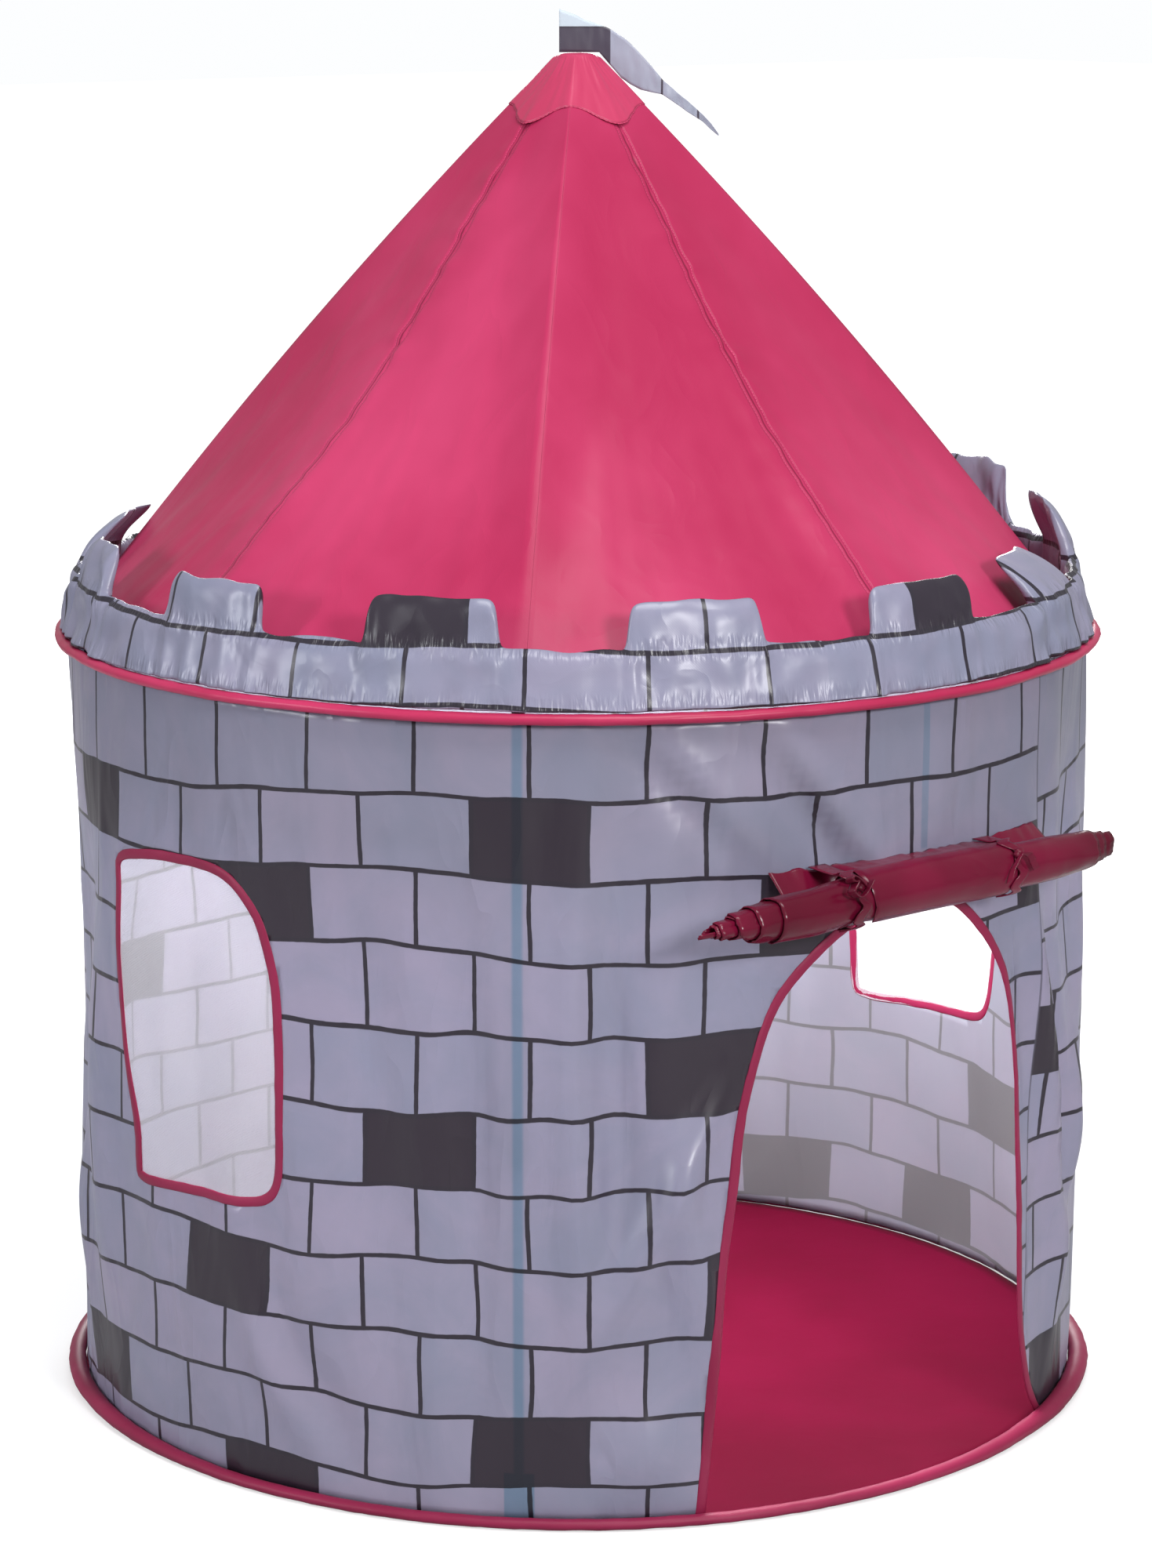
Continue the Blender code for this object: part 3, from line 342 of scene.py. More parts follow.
def new_group(name, inputs, outputs):
    """Empty shader group with named sockets: (name, kind) or (name, kind, default)."""
    group = bpy.data.node_groups.new(name, "ShaderNodeTree")
    for entry in inputs:
        socket = group.interface.new_socket(entry[0], in_out="INPUT", socket_type=entry[1])
        if len(entry) > 2:
            socket.default_value = entry[2]
    for name_out, kind in outputs:
        group.interface.new_socket(name_out, in_out="OUTPUT", socket_type=kind)
    start = group.nodes.new("NodeGroupInput")
    end = group.nodes.new("NodeGroupOutput")
    return group, start.outputs, end.inputs


def use_group(tree, group, **values):
    made = add_node(tree, "ShaderNodeGroup", node_tree=group)
    for name, value in values.items():
        feed(tree, made.inputs[name.capitalize()], value)
    return made.outputs


print("node helpers ready")

# %% [markdown]
# ## Weave
# Polyester taffeta is a plain weave, with several threads in each millimetre. From a few metres
# only a slight break-up of the gloss remains, so the weave is a faint bump made of two crossed
# sine waves, each a little over 2 mm long, which a camera at this distance can still show.

# %% Weave group
WEAVE, weave_in, weave_out = new_group(
    "taffeta weave", [("Place", "NodeSocketVector"), ("Threads", "NodeSocketFloat", 2600.0)],
    [("Height", "NodeSocketFloat")])
warp, weft = (step(WEAVE, "SINE", times(WEAVE, way, weave_in["Threads"]))
              for way in x_and_y(WEAVE, weave_in["Place"]))
WEAVE.links.new(times(WEAVE, warp, weft), weave_out["Height"])
print("weave group made")

# %% [markdown]
# ## Creases
# A tent that has been folded into its bag keeps soft creases, too small for the mesh. Noise with
# stretched, ridged patterns gives their height, and a slow cloud gives the uneven tone of thin
# cloth. Object coordinates are used, so the creases are the right size on every piece.

# %% Creases group
CREASES, crease_in, crease_out = new_group(
    "packing creases", [("Place", "NodeSocketVector")],
    [("Height", "NodeSocketFloat"), ("Tone", "NodeSocketFloat")])
broad = cloud(CREASES, crease_in["Place"], 6.0, 1.5, 0.45, 0.6)
fine = cloud(CREASES, crease_in["Place"], 17.0, 1.5, 0.5, 0.8)
ridged = off(CREASES, fine, 0.5)
height = step(CREASES, "MULTIPLY_ADD", ridged, -0.30, broad)
CREASES.links.new(height, crease_out["Height"])
CREASES.links.new(cloud(CREASES, crease_in["Place"], 3.2, 4.0), crease_out["Tone"])
print("creases group made")

# %% [markdown]
# ## Stitching
# A lockstitch shows as short raised dashes in a slight groove. The group takes the distance from
# the stitch line and the distance along it, both in metres, and gives a thread mask and a height.

# %% Stitch group
STITCH, stitch_in, stitch_out = new_group(
    "lockstitch", [("Beside", "NodeSocketFloat"), ("Along", "NodeSocketFloat"),
                   ("Length", "NodeSocketFloat", 0.0032)],
    [("Thread", "NodeSocketFloat"), ("Height", "NodeSocketFloat")])
off_line = step(STITCH, "ABSOLUTE", stitch_in["Beside"])
on_line = remap(STITCH, off_line, 0.0003, 0.0006, 1.0, 0.0)
dash = step(STITCH, "FRACT", step(STITCH, "DIVIDE", stitch_in["Along"], stitch_in["Length"]))
thread = times(STITCH, on_line, step(STITCH, "LESS_THAN", dash, 0.72))
groove = remap(STITCH, off_line, 0.0004, 0.0022, -1.0, 0.0)
STITCH.links.new(thread, stitch_out["Thread"])
STITCH.links.new(step(STITCH, "MULTIPLY_ADD", thread, 0.8, groove), stitch_out["Height"])
print("stitch group made")

# %% [markdown]
# ## Stone-block print
# The wall's print is a running bond of hand-drawn blocks: thin dark mortar lines that wander a
# little, a few dark blocks, and a watery change of tone from block to block. It is computed from
# the cloth's own UV in metres: a row number from the height, a column number from the distance
# along the row, and the distance to the nearest joint for the mortar. Dark blocks are picked out
# by number, which is how a textile designer would place them in the repeat.

# %% Stone print group
PALE_STONE = ((0.245, 0.250, 0.340), (0.315, 0.285, 0.385))
DARK_STONE = (0.032, 0.023, 0.035)
MORTAR = (0.028, 0.022, 0.033)
ROW_NUMBER = 64.0


def stone_print(name, course, block, top, start, dark_blocks, wander=0.007):
    """Node group for one printed cloth; dark_blocks are (row, column) pairs."""
    group, inputs, outputs = new_group(
        name, [("Place", "NodeSocketVector")], [("Color", "NodeSocketColor")])
    place = inputs["Place"]
    along, up = x_and_y(group, place)
    drift = add_node(group, "ShaderNodeTexNoise")
    feed_all(group, drift, {"Vector": place, "Scale": 5.5, "Detail": 2.0})
    shifts = add_node(group, "ShaderNodeSeparateColor")
    group.links.new(drift.outputs["Color"], shifts.inputs[0])
    along = step(group, "MULTIPLY_ADD", minus(group, shifts.outputs[0], 0.5), 2.0 * wander, along)
    for shift, far in ((shifts.outputs[1], 3.2), (cloud(group, place, 2.3, 1.0), 7.0)):
        up = step(group, "MULTIPLY_ADD", minus(group, shift, 0.5), far * wander, up)
    rows = step(group, "MAXIMUM", step(group, "DIVIDE", minus(group, top, up), course), 0.03)
    row, in_row = step(group, "FLOOR", rows), step(group, "FRACT", rows)
    odd = step(group, "FRACT", times(group, row, 0.5))
    blocks = minus(group, step(group, "DIVIDE", minus(group, along, start), block), odd)
    column, in_block = step(group, "FLOOR", blocks), step(group, "FRACT", blocks)
    from_above = step(group, "ADD", in_row, step(group, "LESS_THAN", row, 0.5))
    from_course = times(group, step(group, "MINIMUM", from_above, minus(group, 1.0, in_row)),
                        course)
    from_joint = times(group, step(group, "MINIMUM", in_block, minus(group, 1.0, in_block)), block)
    nearest = step(group, "MINIMUM", from_course, from_joint)
    brush = times(group, cloud(group, place, 60.0, 2.0), 0.0012)
    mortar = remap(group, step(group, "ADD", nearest, brush), 0.0024, 0.0031, 1.0, 0.0)
    number = step(group, "MULTIPLY_ADD", row, ROW_NUMBER, column)
    dark = 0.0
    for dark_row, dark_column in dark_blocks:
        hit = step(group, "COMPARE", number, dark_row * ROW_NUMBER + dark_column, 0.3)
        dark = step(group, "ADD", dark, hit)
    dark = step(group, "MINIMUM", dark, 1.0)
    one_block = add_node(group, "ShaderNodeTexWhiteNoise", noise_dimensions="1D")
    group.links.new(number, one_block.inputs["W"])
    watery = cloud(group, place, 11.0, 4.0, 0.6, 0.8)
    tone = step(group, "MULTIPLY_ADD", one_block.outputs["Value"], 0.3, times(group, watery, 0.8))
    stone = mix_colour(group, remap(group, tone, 0.25, 0.85), *PALE_STONE)
    stone = mix_colour(group, dark, stone, DARK_STONE)
    group.links.new(mix_colour(group, mortar, stone, MORTAR), outputs["Color"])
    return group


WALL_PRINT = stone_print(
    "wall stone print", 0.0715, 0.1072, 0.7595, -0.498,
    [(1, 0), (1, -5), (2, -2), (2, 3), (2, 6), (4, 2), (5, -1), (7, -3), (7, 2), (9, -5), (9, 0),
     (10, -2), (4, -24), (9, -24), (9, -17), (7, -20), (9, -19), (2, -10), (5, -9), (8, -12),
     (3, -15), (6, -14), (1, -20)])
BAND_PRINT = stone_print(
    "battlement stone print", 0.0520, 0.1127, 0.1040, -0.459,
    [(0, 4), (0, 28), (0, 13), (0, 20), (1, 17)], wander=0.003)
print("stone print groups made")

# %% [markdown]
# ## Cloth finishes
# All the cloths are the same thin shiny polyester in different colours, so one function builds
# them: a Principled shader with a soft gloss, mixed with a little translucency because daylight
# glows through such cloth. Three bumps lie on each other: creases, sewing and weave. Only the
# colour, the amounts and the seams differ.

# %% Cloth material
def cloth_material(name, colour_from, roughness, glow, crease=0.004, gloss=0.45, drop=1.0,
                   threads=2600.0):
    """Thin cloth; colour_from(tree, uv, creases) gives its colour, and more height if any.

    A drop below 1 draws the creases out upwards, as on hanging cloth."""
    made, tree, _ = start_material(name)
    tree.nodes.clear()
    uv = cloth_uv(tree)
    creases = use_group(tree, CREASES, place=stretched(tree, object_place(tree), (1.0, 1.0, drop)))
    weave = use_group(tree, WEAVE, place=uv, threads=threads)
    colour, extra = colour_from(tree, uv, creases)
    folds = bump(tree, creases["Height"], crease, 0.9)
    sewn = folds if extra is None else bump(tree, extra, 0.0006, over=folds)
    woven = bump(tree, weave["Height"], 0.00003, 0.35, over=sewn)
    shader = add_node(tree, "ShaderNodeBsdfPrincipled")
    feed_all(tree, shader, {
        "Base Color": colour,
        "Roughness": step(tree, "MULTIPLY_ADD", creases["Tone"], 0.16, roughness - 0.08),
        "Specular IOR Level": gloss, "Sheen Weight": 0.01, "Sheen Roughness": 0.4,
        "Normal": woven})
    through = add_node(tree, "ShaderNodeBsdfTranslucent")
    feed_all(tree, through, {"Color": colour, "Normal": folds})
    both = add_node(tree, "ShaderNodeMixShader")
    for socket, value in zip(both.inputs, (glow, shader.outputs[0], through.outputs[0])):
        feed(tree, socket, value)
    end = add_node(tree, "ShaderNodeOutputMaterial")
    tree.links.new(both.outputs[0], end.inputs[0])
    return made


POLE_SPACING = 0.5 * math.pi * WALL_ROUND
SEAM_PLACES = (0.1832, -3.0337)
# SHADE is the colour of the painted shade of the poles, pockets and tape seen through the wall.
SHADE = (0.52, 0.80, 0.87)
SEAM_LINE = (0.07, 0.065, 0.09)
REVERSE_PALE_AND_LIT_GREY = (0.86, 0.86, 0.90)


def shade_from_behind(tree, along, up):
    """Painted shade of the poles, their pockets and the inside tape seen through the wall, 0 to 1.
    """
    turn = step(tree, "FRACT", step(tree, "MULTIPLY_ADD", along, 1.0 / POLE_SPACING, 1.0))
    off_pole = times(tree, off(tree, turn, 0.5), POLE_SPACING)
    rod = remap(tree, off_pole, 0.0028, 0.0068, 0.85, 0.0)
    pocket = times(tree, remap(tree, off_pole, 0.0135, 0.0150, 0.95, 0.0),
                   remap(tree, up, 0.0545, 0.0565, 1.0, 0.0))
    tape = times(tree, remap(tree, step(tree, "ABSOLUTE", along), 0.0034, 0.0048, 0.60, 0.0),
                 remap(tree, up, 0.620, 0.624))
    return step(tree, "MAXIMUM", step(tree, "MAXIMUM", rod, pocket), tape)


def printed(group, wash=0.0, poles_behind=False, painted_shade=(1.0, 1.0, 1.0), puckered=False):
    """Colour of a stone print, washed pale grey on the reverse: a paler print and painted light.

    A puckered print has small gathers along its sewn edges."""
    def colour_from(tree, uv, creases):
        colour = use_group(tree, group, place=uv)["Color"]
        if poles_behind:
            # The poles, pockets and tape behind the wall are painted on as shade.
            along, up = x_and_y(tree, uv)
            colour = mix_colour(tree, shade_from_behind(tree, along, up), colour, SHADE,
                                "MULTIPLY")
            seam = step(tree, "MINIMUM", *[off(tree, along, place) for place in SEAM_PLACES])
            colour = mix_colour(tree, remap(tree, seam, 0.0006, 0.0016, 0.7, 0.0), colour,
                                SEAM_LINE)
        # This multiply darkens the whole print as painted shade, for cloth that catches more
        # light.
        colour = mix_colour(tree, 1.0, colour, painted_shade, "MULTIPLY")
        # On the reverse the wash pales the print, and also paints in the light shining through the
        # wall.
        colour = mix_colour(tree, wash, colour, REVERSE_PALE_AND_LIT_GREY)
        if not puckered:
            return colour, None
        wrinkles = cloud(tree, stretched(tree, uv, (1.0, 0.22, 1.0)), 120.0, 2.0, 0.5, 0.4)
        _, up = x_and_y(tree, uv)
        sewn = step(tree, "MAXIMUM", remap(tree, up, 0.0, 0.022, 1.0, 0.0),
                    remap(tree, off(tree, up, BAND_TALL), 0.002, 0.014, 0.8, 0.0))
        return colour, times(tree, times(tree, minus(tree, wrinkles, 0.5), sewn), 9.0)
    return colour_from


def dyed(deep, light, seam=False):
    """Plain dyed cloth, uneven between two tones; with a seam, stitched at UV x = 0 with painted
    shade in its fold.
    """
    def colour_from(tree, uv, creases):
        colour = mix_colour(tree, remap(tree, creases["Tone"], 0.3, 0.72), deep, light)
        if not seam:
            return colour, None
        across, along = x_and_y(tree, uv)
        off_seam = step(tree, "ABSOLUTE", across)
        # The dark line along the seam is painted shade in the seam's fold.
        line = remap(tree, off_seam, 0.0004, 0.0013, 0.75, 0.0)
        colour = mix_colour(tree, line, colour, tuple(0.35 * value for value in deep))
        sewn = use_group(tree, STITCH, beside=minus(tree, off_seam, 0.0045), along=along)
        colour = mix_colour(tree, sewn["Thread"], colour, tuple(1.25 * value for value in light))
        return colour, sewn["Height"]
    return colour_from


WALL_CLOTH = cloth_material("stone_print_cloth", printed(WALL_PRINT, poles_behind=True), 0.31,
                            0.24, crease=0.022, gloss=0.55, drop=0.35)
# The reverse is washed paler: partly its paler print, partly painted light coming through the
# wall.
WALL_REVERSE = cloth_material("stone_print_reverse", printed(WALL_PRINT, 0.35), 0.6, 0.60,
                              crease=0.010, gloss=0.2, drop=0.35)
# The battlement's print is darkened by a painted shade, as the band faces up and catches more
# light.
BAND_CLOTH = cloth_material("battlement_cloth", printed(
    BAND_PRINT, painted_shade=(0.81, 0.84, 0.87), puckered=True), 0.35, 0.05, crease=0.008, gloss=0.48)
ROOF_CLOTH = cloth_material("pink_cloth", dyed((0.41, 0.020, 0.082), (0.575, 0.051, 0.150), True),
                            0.42, 0.14, crease=0.007, gloss=0.22, drop=0.4)
# The cap is the roof's cloth, coloured paler as a painted highlight on the top of the tent.
PALER_LIT_CAP_CLOTH = cloth_material("pink_cap_painted_highlight_cloth", dyed(
    (0.48, 0.030, 0.096), (0.62, 0.060, 0.158), True), 0.38, 0.14, crease=0.005, drop=0.4)
EDGE_PINK = cloth_material("pink_edge_cloth", dyed((0.36, 0.012, 0.060), (0.50, 0.028, 0.105)),
                           0.38, 0.05, crease=0.003, gloss=0.35)
MAROON_CLOTH = cloth_material("maroon_cloth", dyed((0.080, 0.002, 0.013), (0.195, 0.006, 0.036)),
                              0.25, 0.03, crease=0.014, gloss=0.27)
FLOOR_CLOTH = cloth_material("maroon_floor_cloth", dyed(
    (0.096, 0.002, 0.015), (0.125, 0.003, 0.022)), 0.75, 0.03, crease=0.002, gloss=0.03)
TAPE_CLOTH = cloth_material("binding_cloth", dyed((0.20, 0.008, 0.042), (0.29, 0.016, 0.068)),
                            0.5, 0.05, crease=0.002, gloss=0.3, threads=1500.0)
GREY_CLOTH = cloth_material("grey_cloth", dyed((0.20, 0.23, 0.30), (0.27, 0.30, 0.37)), 0.6, 0.1)
print("cloth materials:", len(bpy.data.materials))

# %% [markdown]
# ## Studio
# Product photographs of such tents are taken on a white sweep under big soft lamps. A large pale
# floor, a nearly white sky and four area lights around the tent give the same even light with a
# faint shadow. A small fifth lamp inside stands for the light that the thin cloths let through.

# %% Floor and lights
bpy.ops.object.select_all(action="DESELECT")
bpy.ops.mesh.primitive_plane_add(size=60.0, location=(0.0, 0.0, -0.0005))
studio_floor = bpy.context.object
studio_floor.name = "studio_floor"
paper, paper_tree, paper_shader = start_material("studio_paper")
paper_place = object_place(paper_tree)
from_tent = add_node(paper_tree, "ShaderNodeVectorMath", operation="LENGTH")
paper_tree.links.new(paper_place, from_tent.inputs[0])
seen = add_node(paper_tree, "ShaderNodeLightPath").outputs["Is Camera Ray"]
feed_all(paper_tree, paper_shader, {
    "Base Color": mix_colour(paper_tree, cloud(paper_tree, paper_place, 0.8), (0.43, 0.43, 0.44),
                             (0.47, 0.47, 0.47)),
    "Roughness": 0.9, "Emission Color": (1.0, 1.0, 1.0, 1.0),
    "Emission Strength": times(paper_tree, seen, remap(
        paper_tree, from_tent.outputs["Value"], 0.7, 2.6, 0.56, 0.95))})
studio_floor.data.materials.append(paper)

sky = bpy.data.worlds.new("studio_sky")
bpy.context.scene.world = sky
sky.use_nodes = True
seen = add_node(sky.node_tree, "ShaderNodeLightPath").outputs["Is Camera Ray"]
feed_all(sky.node_tree, sky.node_tree.nodes["Background"], {
    "Color": (0.98, 0.99, 1.0, 1.0),
    "Strength": remap(sky.node_tree, seen, 0.0, 1.0, 0.44, 1.0)})
bpy.context.scene.view_settings.view_transform = "Standard"


def soft_lamp(name, place, size, power, colour=(1.0, 1.0, 1.0), aim=(0.0, 0.0, 0.7)):
    light = bpy.data.lights.new(name, "AREA")
    light.shape = "DISK"
    light.size = size
    light.energy = power
    light.color = colour
    lamp = bpy.data.objects.new(name, light)
    bpy.context.scene.collection.objects.link(lamp)
    lamp.location = place
    lamp.rotation_euler = (Vector(aim) - Vector(place)).to_track_quat("-Z", "Y").to_euler()


soft_lamp("top_lamp", (-0.6, -1.6, 4.2), 1.8, 96.0)
soft_lamp("front_lamp", (-0.9, -4.8, 2.5), 0.9, 138.0)
soft_lamp("side_lamp", (-4.8, 0.9, 2.0), 1.2, 92.0, (0.94, 0.96, 1.0))
soft_lamp("back_lamp", (2.8, 3.4, 2.2), 2.4, 190.0)
soft_lamp("inside_glow", (0.0, 0.0, 0.70), 0.7, 19.0, aim=(0.05, 0.05, 0.0))

# %% [markdown]
# ## Camera
# The camera stands where the photographer's did: about 4.1 m from the tent's axis, a little higher
# than its pennant, 39 degrees round from the door and tilted down 12 degrees, with a short
# telephoto lens.

# %% Camera
EYE_PLACE = (-2.577, -3.182, 1.460)
TILT = 0.2072
eye = bpy.data.cameras.new("photo_camera")
eye.sensor_fit = "VERTICAL"
eye.sensor_height = 36.0
eye.lens = 93.9
eye.clip_end = 200.0
camera = bpy.data.objects.new("photo_camera", eye)
bpy.context.scene.collection.objects.link(camera)
look = Vector((0.629 * math.cos(TILT), 0.777 * math.cos(TILT), -math.sin(TILT)))
camera.location = EYE_PLACE
camera.rotation_euler = look.to_track_quat("-Z", "Y").to_euler()
bpy.context.scene.camera = camera
print("lens", eye.lens, "mm")

# %% [markdown]
# ## Wall
# The wall is one long strip of printed cloth sewn into a tube with a single upright seam beside
# the doorway. It is drawn flat here, as it was cut: a grid 3.2 m long, thickened, with the
# doorway and the two windows cut out by Booleans. Only then is it wrapped round the hoops, with
# the folds worked in. Cutting flat cloth keeps the openings' edges clean, and the flat
# coordinates become the print's UV map.

# %% Folds of the wall
# Each fold has its place and width round the tent as shares of the whole turn, its slant, the
# height of its middle and its length as shares of the wall's height, and its depth in centimetres.
FOLDS = (
    (-0.2000, 0.0220, 0.030, 0.200, 0.22, 1.00), (-0.1700, 0.0200, 0.020, 0.620, 0.20, -0.70),
    (-0.0900, 0.0220, 0.015, 0.800, 0.16, 0.70), (-0.0850, 0.0200, -0.020, 0.250, 0.22, 0.90),
    (0.1650, 0.0240, 0.020, 0.450, 0.30, 1.10), (0.2150, 0.0220, -0.020, 0.250, 0.20, -0.70),
    (0.3300, 0.0260, 0.020, 0.600, 0.30, 0.90), (0.4200, 0.0220, -0.020, 0.300, 0.24, -0.80),
    (0.4800, 0.0240, 0.020, 0.650, 0.26, 1.00), (-0.4300, 0.0220, 0.020, 0.350, 0.26, 0.90),
    (-0.3300, 0.0240, -0.020, 0.600, 0.30, -0.80), (-0.2850, 0.0140, -0.035, 0.350, 0.30, 1.20),
    (-0.3020, 0.0120, 0.030, 0.700, 0.20, -0.90), (0.0950, 0.0120, 0.020, 0.780, 0.16, -0.90),
    (0.1150, 0.0120, -0.020, 0.500, 0.25, 0.90), (-0.0600, 0.0120, 0.030, 0.880, 0.10, 0.80),
    (-0.0880, 0.0060, -0.190, 0.950, 0.10, -1.50), (-0.0790, 0.0060, -0.190, 0.950, 0.10, 1.50),
    (-0.0470, 0.0060, -0.160, 0.920, 0.14, -1.90), (-0.0390, 0.0070, -0.160, 0.920, 0.14, 1.90),
    (-0.1085, 0.0075, 0.000, 0.550, 0.55, 1.52), (-0.0970, 0.0080, 0.000, 0.600, 0.40, -0.95),
    (-0.0830, 0.0060, 0.120, 0.400, 0.17, 1.71), (-0.0730, 0.0060, -0.050, 0.300, 0.20, 1.52),
    (-0.0840, 0.0080, 0.000, 0.200, 0.12, -1.10), (-0.0905, 0.0120, 0.000, 0.075, 0.06, 2.47),
    (-0.1375, 0.0080, 0.000, 0.400, 0.35, -1.60), (-0.2000, 0.0080, -0.120, 0.150, 0.10, 1.52),
    (-0.1900, 0.0080, -0.120, 0.150, 0.10, -1.33), (0.0680, 0.0060, -0.050, 0.450, 0.25, 1.71),
    (0.0780, 0.0060, -0.050, 0.450, 0.25, -1.71), (0.0920, 0.0070, 0.060, 0.350, 0.22, 1.71),
    (0.1300, 0.0080, -0.040, 0.550, 0.30, -1.52), (-0.3100, 0.0080, -0.030, 0.220, 0.16, 1.71),
    (-0.3220, 0.0080, -0.030, 0.250, 0.18, -1.52), (0.4500, 0.0090, 0.020, 0.550, 0.30, 1.33),
    (-0.4000, 0.0090, 0.020, 0.450, 0.35, -1.33), (0.3000, 0.0090, -0.030, 0.450, 0.30, -1.33),
)
FOLD_DEPTH = 0.0100


def wall_folds(azimuth, height):
    """How far the cloth stands out from its round, with folds, drapes and puckers."""
    up = min(max((height - WALL_FOOT) / (WALL_HEAD - WALL_FOOT), 0.0), 1.0)
    total = 0.0
    for place, width, slant, middle, length, depth in FOLDS:
        across = turn_between(azimuth, 360.0 * (place + slant * (up - middle))) / (360.0 * width)
        along = (up - middle) / length
        total += FOLD_DEPTH * depth * math.exp(-across * across - along * along)
    spot = tent_point(azimuth, 1.0, 0.0)
    total += 0.0060 * ripple(3.1 * spot.x + 0.9 * height, 3.1 * spot.y, 1.5 * height)
    total += 0.0080 * ripple(7.0 * spot.x + 2.6 * height, 7.0 * spot.y, 2.6 * height + 7.0)
    total += 0.0022 * ripple_at(spot, 19.0, 1.4 * height) * math.exp(-(WALL_HEAD - height) / 0.16)
    total += 0.0048 * (0.32 - abs(ripple(5.0 * spot.x - 3.4 * height, 5.0 * spot.y + 2.2 * height,
                                         3.0 * height)))
    total += 0.0030 * ripple(15.0 * spot.x + 5.0 * height, 15.0 * spot.y, 5.0 * height)
    held = math.sin(math.pi * up) ** 0.45
    for pole in POLES:
        held *= 1.0 - 0.85 * hump(turn_between(azimuth, pole), 3.5)
    edge = min(height - WALL_FOOT, WALL_HEAD - height)
    pucker = 0.0016 * math.exp(-max(edge, 0.0) / 0.030) * ripple_at(spot, 26.0, 3.0 * height)
    tented = sum(0.0055 * hump(turn_between(azimuth, pole), 3.0) for pole in POLES)
    return total * held + tented * math.sin(math.pi * up) ** 0.5 + pucker


def wall_place(along, height, outward=0.0):
    """Carry a flat point of the wall cloth to its hung place."""
    azimuth = math.degrees(along / WALL_ROUND)
    return tent_point(azimuth, WALL_MIDDLE + wall_folds(azimuth, height) + outward, height)


print("fold at the left of the door:", round(wall_folds(-45.0 + 14.0, 0.3), 4))

# %% Outlines of the doorway and windows
DOOR_TOP = 0.585
DOOR_HALF = 0.236
# From the foot up, as shares of the half width and of the height.
DOOR_LEFT = ((1.0, 0.0), (0.97, 0.16), (0.945, 0.32), (0.885, 0.52), (0.826, 0.70),
             (0.70, 0.845), (0.48, 0.938), (0.25, 0.984))
DOOR_RIGHT = ((1.0, 0.0), (0.86, 0.065), (0.775, 0.17), (0.735, 0.287), (0.70, 0.44),
              (0.655, 0.60), (0.585, 0.75), (0.45, 0.87), (0.24, 0.958))
# Distance from the window's middle along the wall, and height.
WINDOW_EDGE = (
    (-0.113, 0.586), (-0.060, 0.600), (-0.010, 0.603), (0.040, 0.602), (0.0715, 0.590),
    (0.097, 0.563), (0.1095, 0.530), (0.1175, 0.494), (0.1205, 0.447), (0.1215, 0.389),
    (0.1215, 0.335), (0.1165, 0.304), (0.103, 0.287), (0.078, 0.2785), (0.020, 0.274),
    (-0.040, 0.271), (-0.100, 0.270), (-0.113, 0.282), (-0.114, 0.322), (-0.114, 0.372),
    (-0.114, 0.430), (-0.114, 0.490), (-0.114, 0.550),
)
WINDOWS = (("left", -85.0), ("right", 91.0 - 360.0))


def smooth_path(points, steps=6, closed=False):
    """Catmull-Rom curve through flat points."""
    count = len(points)
    path = []
    for i in range(count if closed else count - 1):
        if closed:
            four = [points[(i + k) % count] for k in (-1, 0, 1, 2)]
        else:
            four = [points[min(max(i + k, 0), count - 1)] for k in (-1, 0, 1, 2)]
        for j in range(steps):
            t = j / steps
            path.append(tuple(
                0.5 * (2 * b + (c - a) * t + (2 * a - 5 * b + 4 * c - d) * t * t
                       + (3 * b - a - 3 * c + d) * t ** 3)
                for a, b, c, d in zip(*four)))
    if not closed:
        path.append(tuple(points[-1]))
    return path


def door_path():
    left = [(-DOOR_HALF * wide, DOOR_TOP * up) for wide, up in DOOR_LEFT]
    right = [(DOOR_HALF * wide, DOOR_TOP * up) for wide, up in DOOR_RIGHT]
    return smooth_path(left + [(0.0, DOOR_TOP)] + right[::-1])


def window_path(azimuth):
    """Window outline on the flat wall; the right window is the left one mirrored, less pinched."""
    middle = math.radians(azimuth) * WALL_ROUND
    side, pinch = (1.0, 0.028) if azimuth > -180.0 else (-1.0, 0.004)
    points = []
    for across, up in smooth_path(WINDOW_EDGE, 4, closed=True)[::-1]:
        drawn_in = pinch * hump(up - 0.31, 0.09) * ease((-across - 0.05) / 0.05)
        points.append((middle + side * (across + drawn_in), up))
    return points if side > 0.0 else points[::-1]


print("doorway path has", len(door_path()), "points")

# %% Cut and wrap the wall
WALL_COLUMNS, WALL_ROWS = 330, 78
WALL_START = math.radians(WALL_SEAM - 360.0) * WALL_ROUND
WALL_END = math.radians(WALL_SEAM) * WALL_ROUND
PRINT_RISE = 0.036
CUTTER_HALF = 0.02
BELOW_GROUND = -0.05


def flat_cutter(name, outline):
    """Upright block with a flat outline, thick enough to pass through the cloth."""
    mesh = bpy.data.meshes.new(name)
    with opened(mesh) as editing:
        front = editing.faces.new([editing.verts.new((x, -CUTTER_HALF, z)) for x, z in outline])
        pushed = bmesh.ops.extrude_face_region(editing, geom=[front])
        moved = [item for item in pushed["geom"] if isinstance(item, bmesh.types.BMVert)]
        bmesh.ops.translate(editing, verts=moved, vec=(0.0, 2.0 * CUTTER_HALF, 0.0))
        face_outwards(editing)
    return new_piece(name, mesh)


def cut(piece, cutter):
    change = piece.modifiers.new("cut", "BOOLEAN")
    change.operation = "DIFFERENCE"
    change.solver = "EXACT"
    change.object = cutter
    apply_all(piece)
    bpy.data.objects.remove(cutter, do_unlink=True)


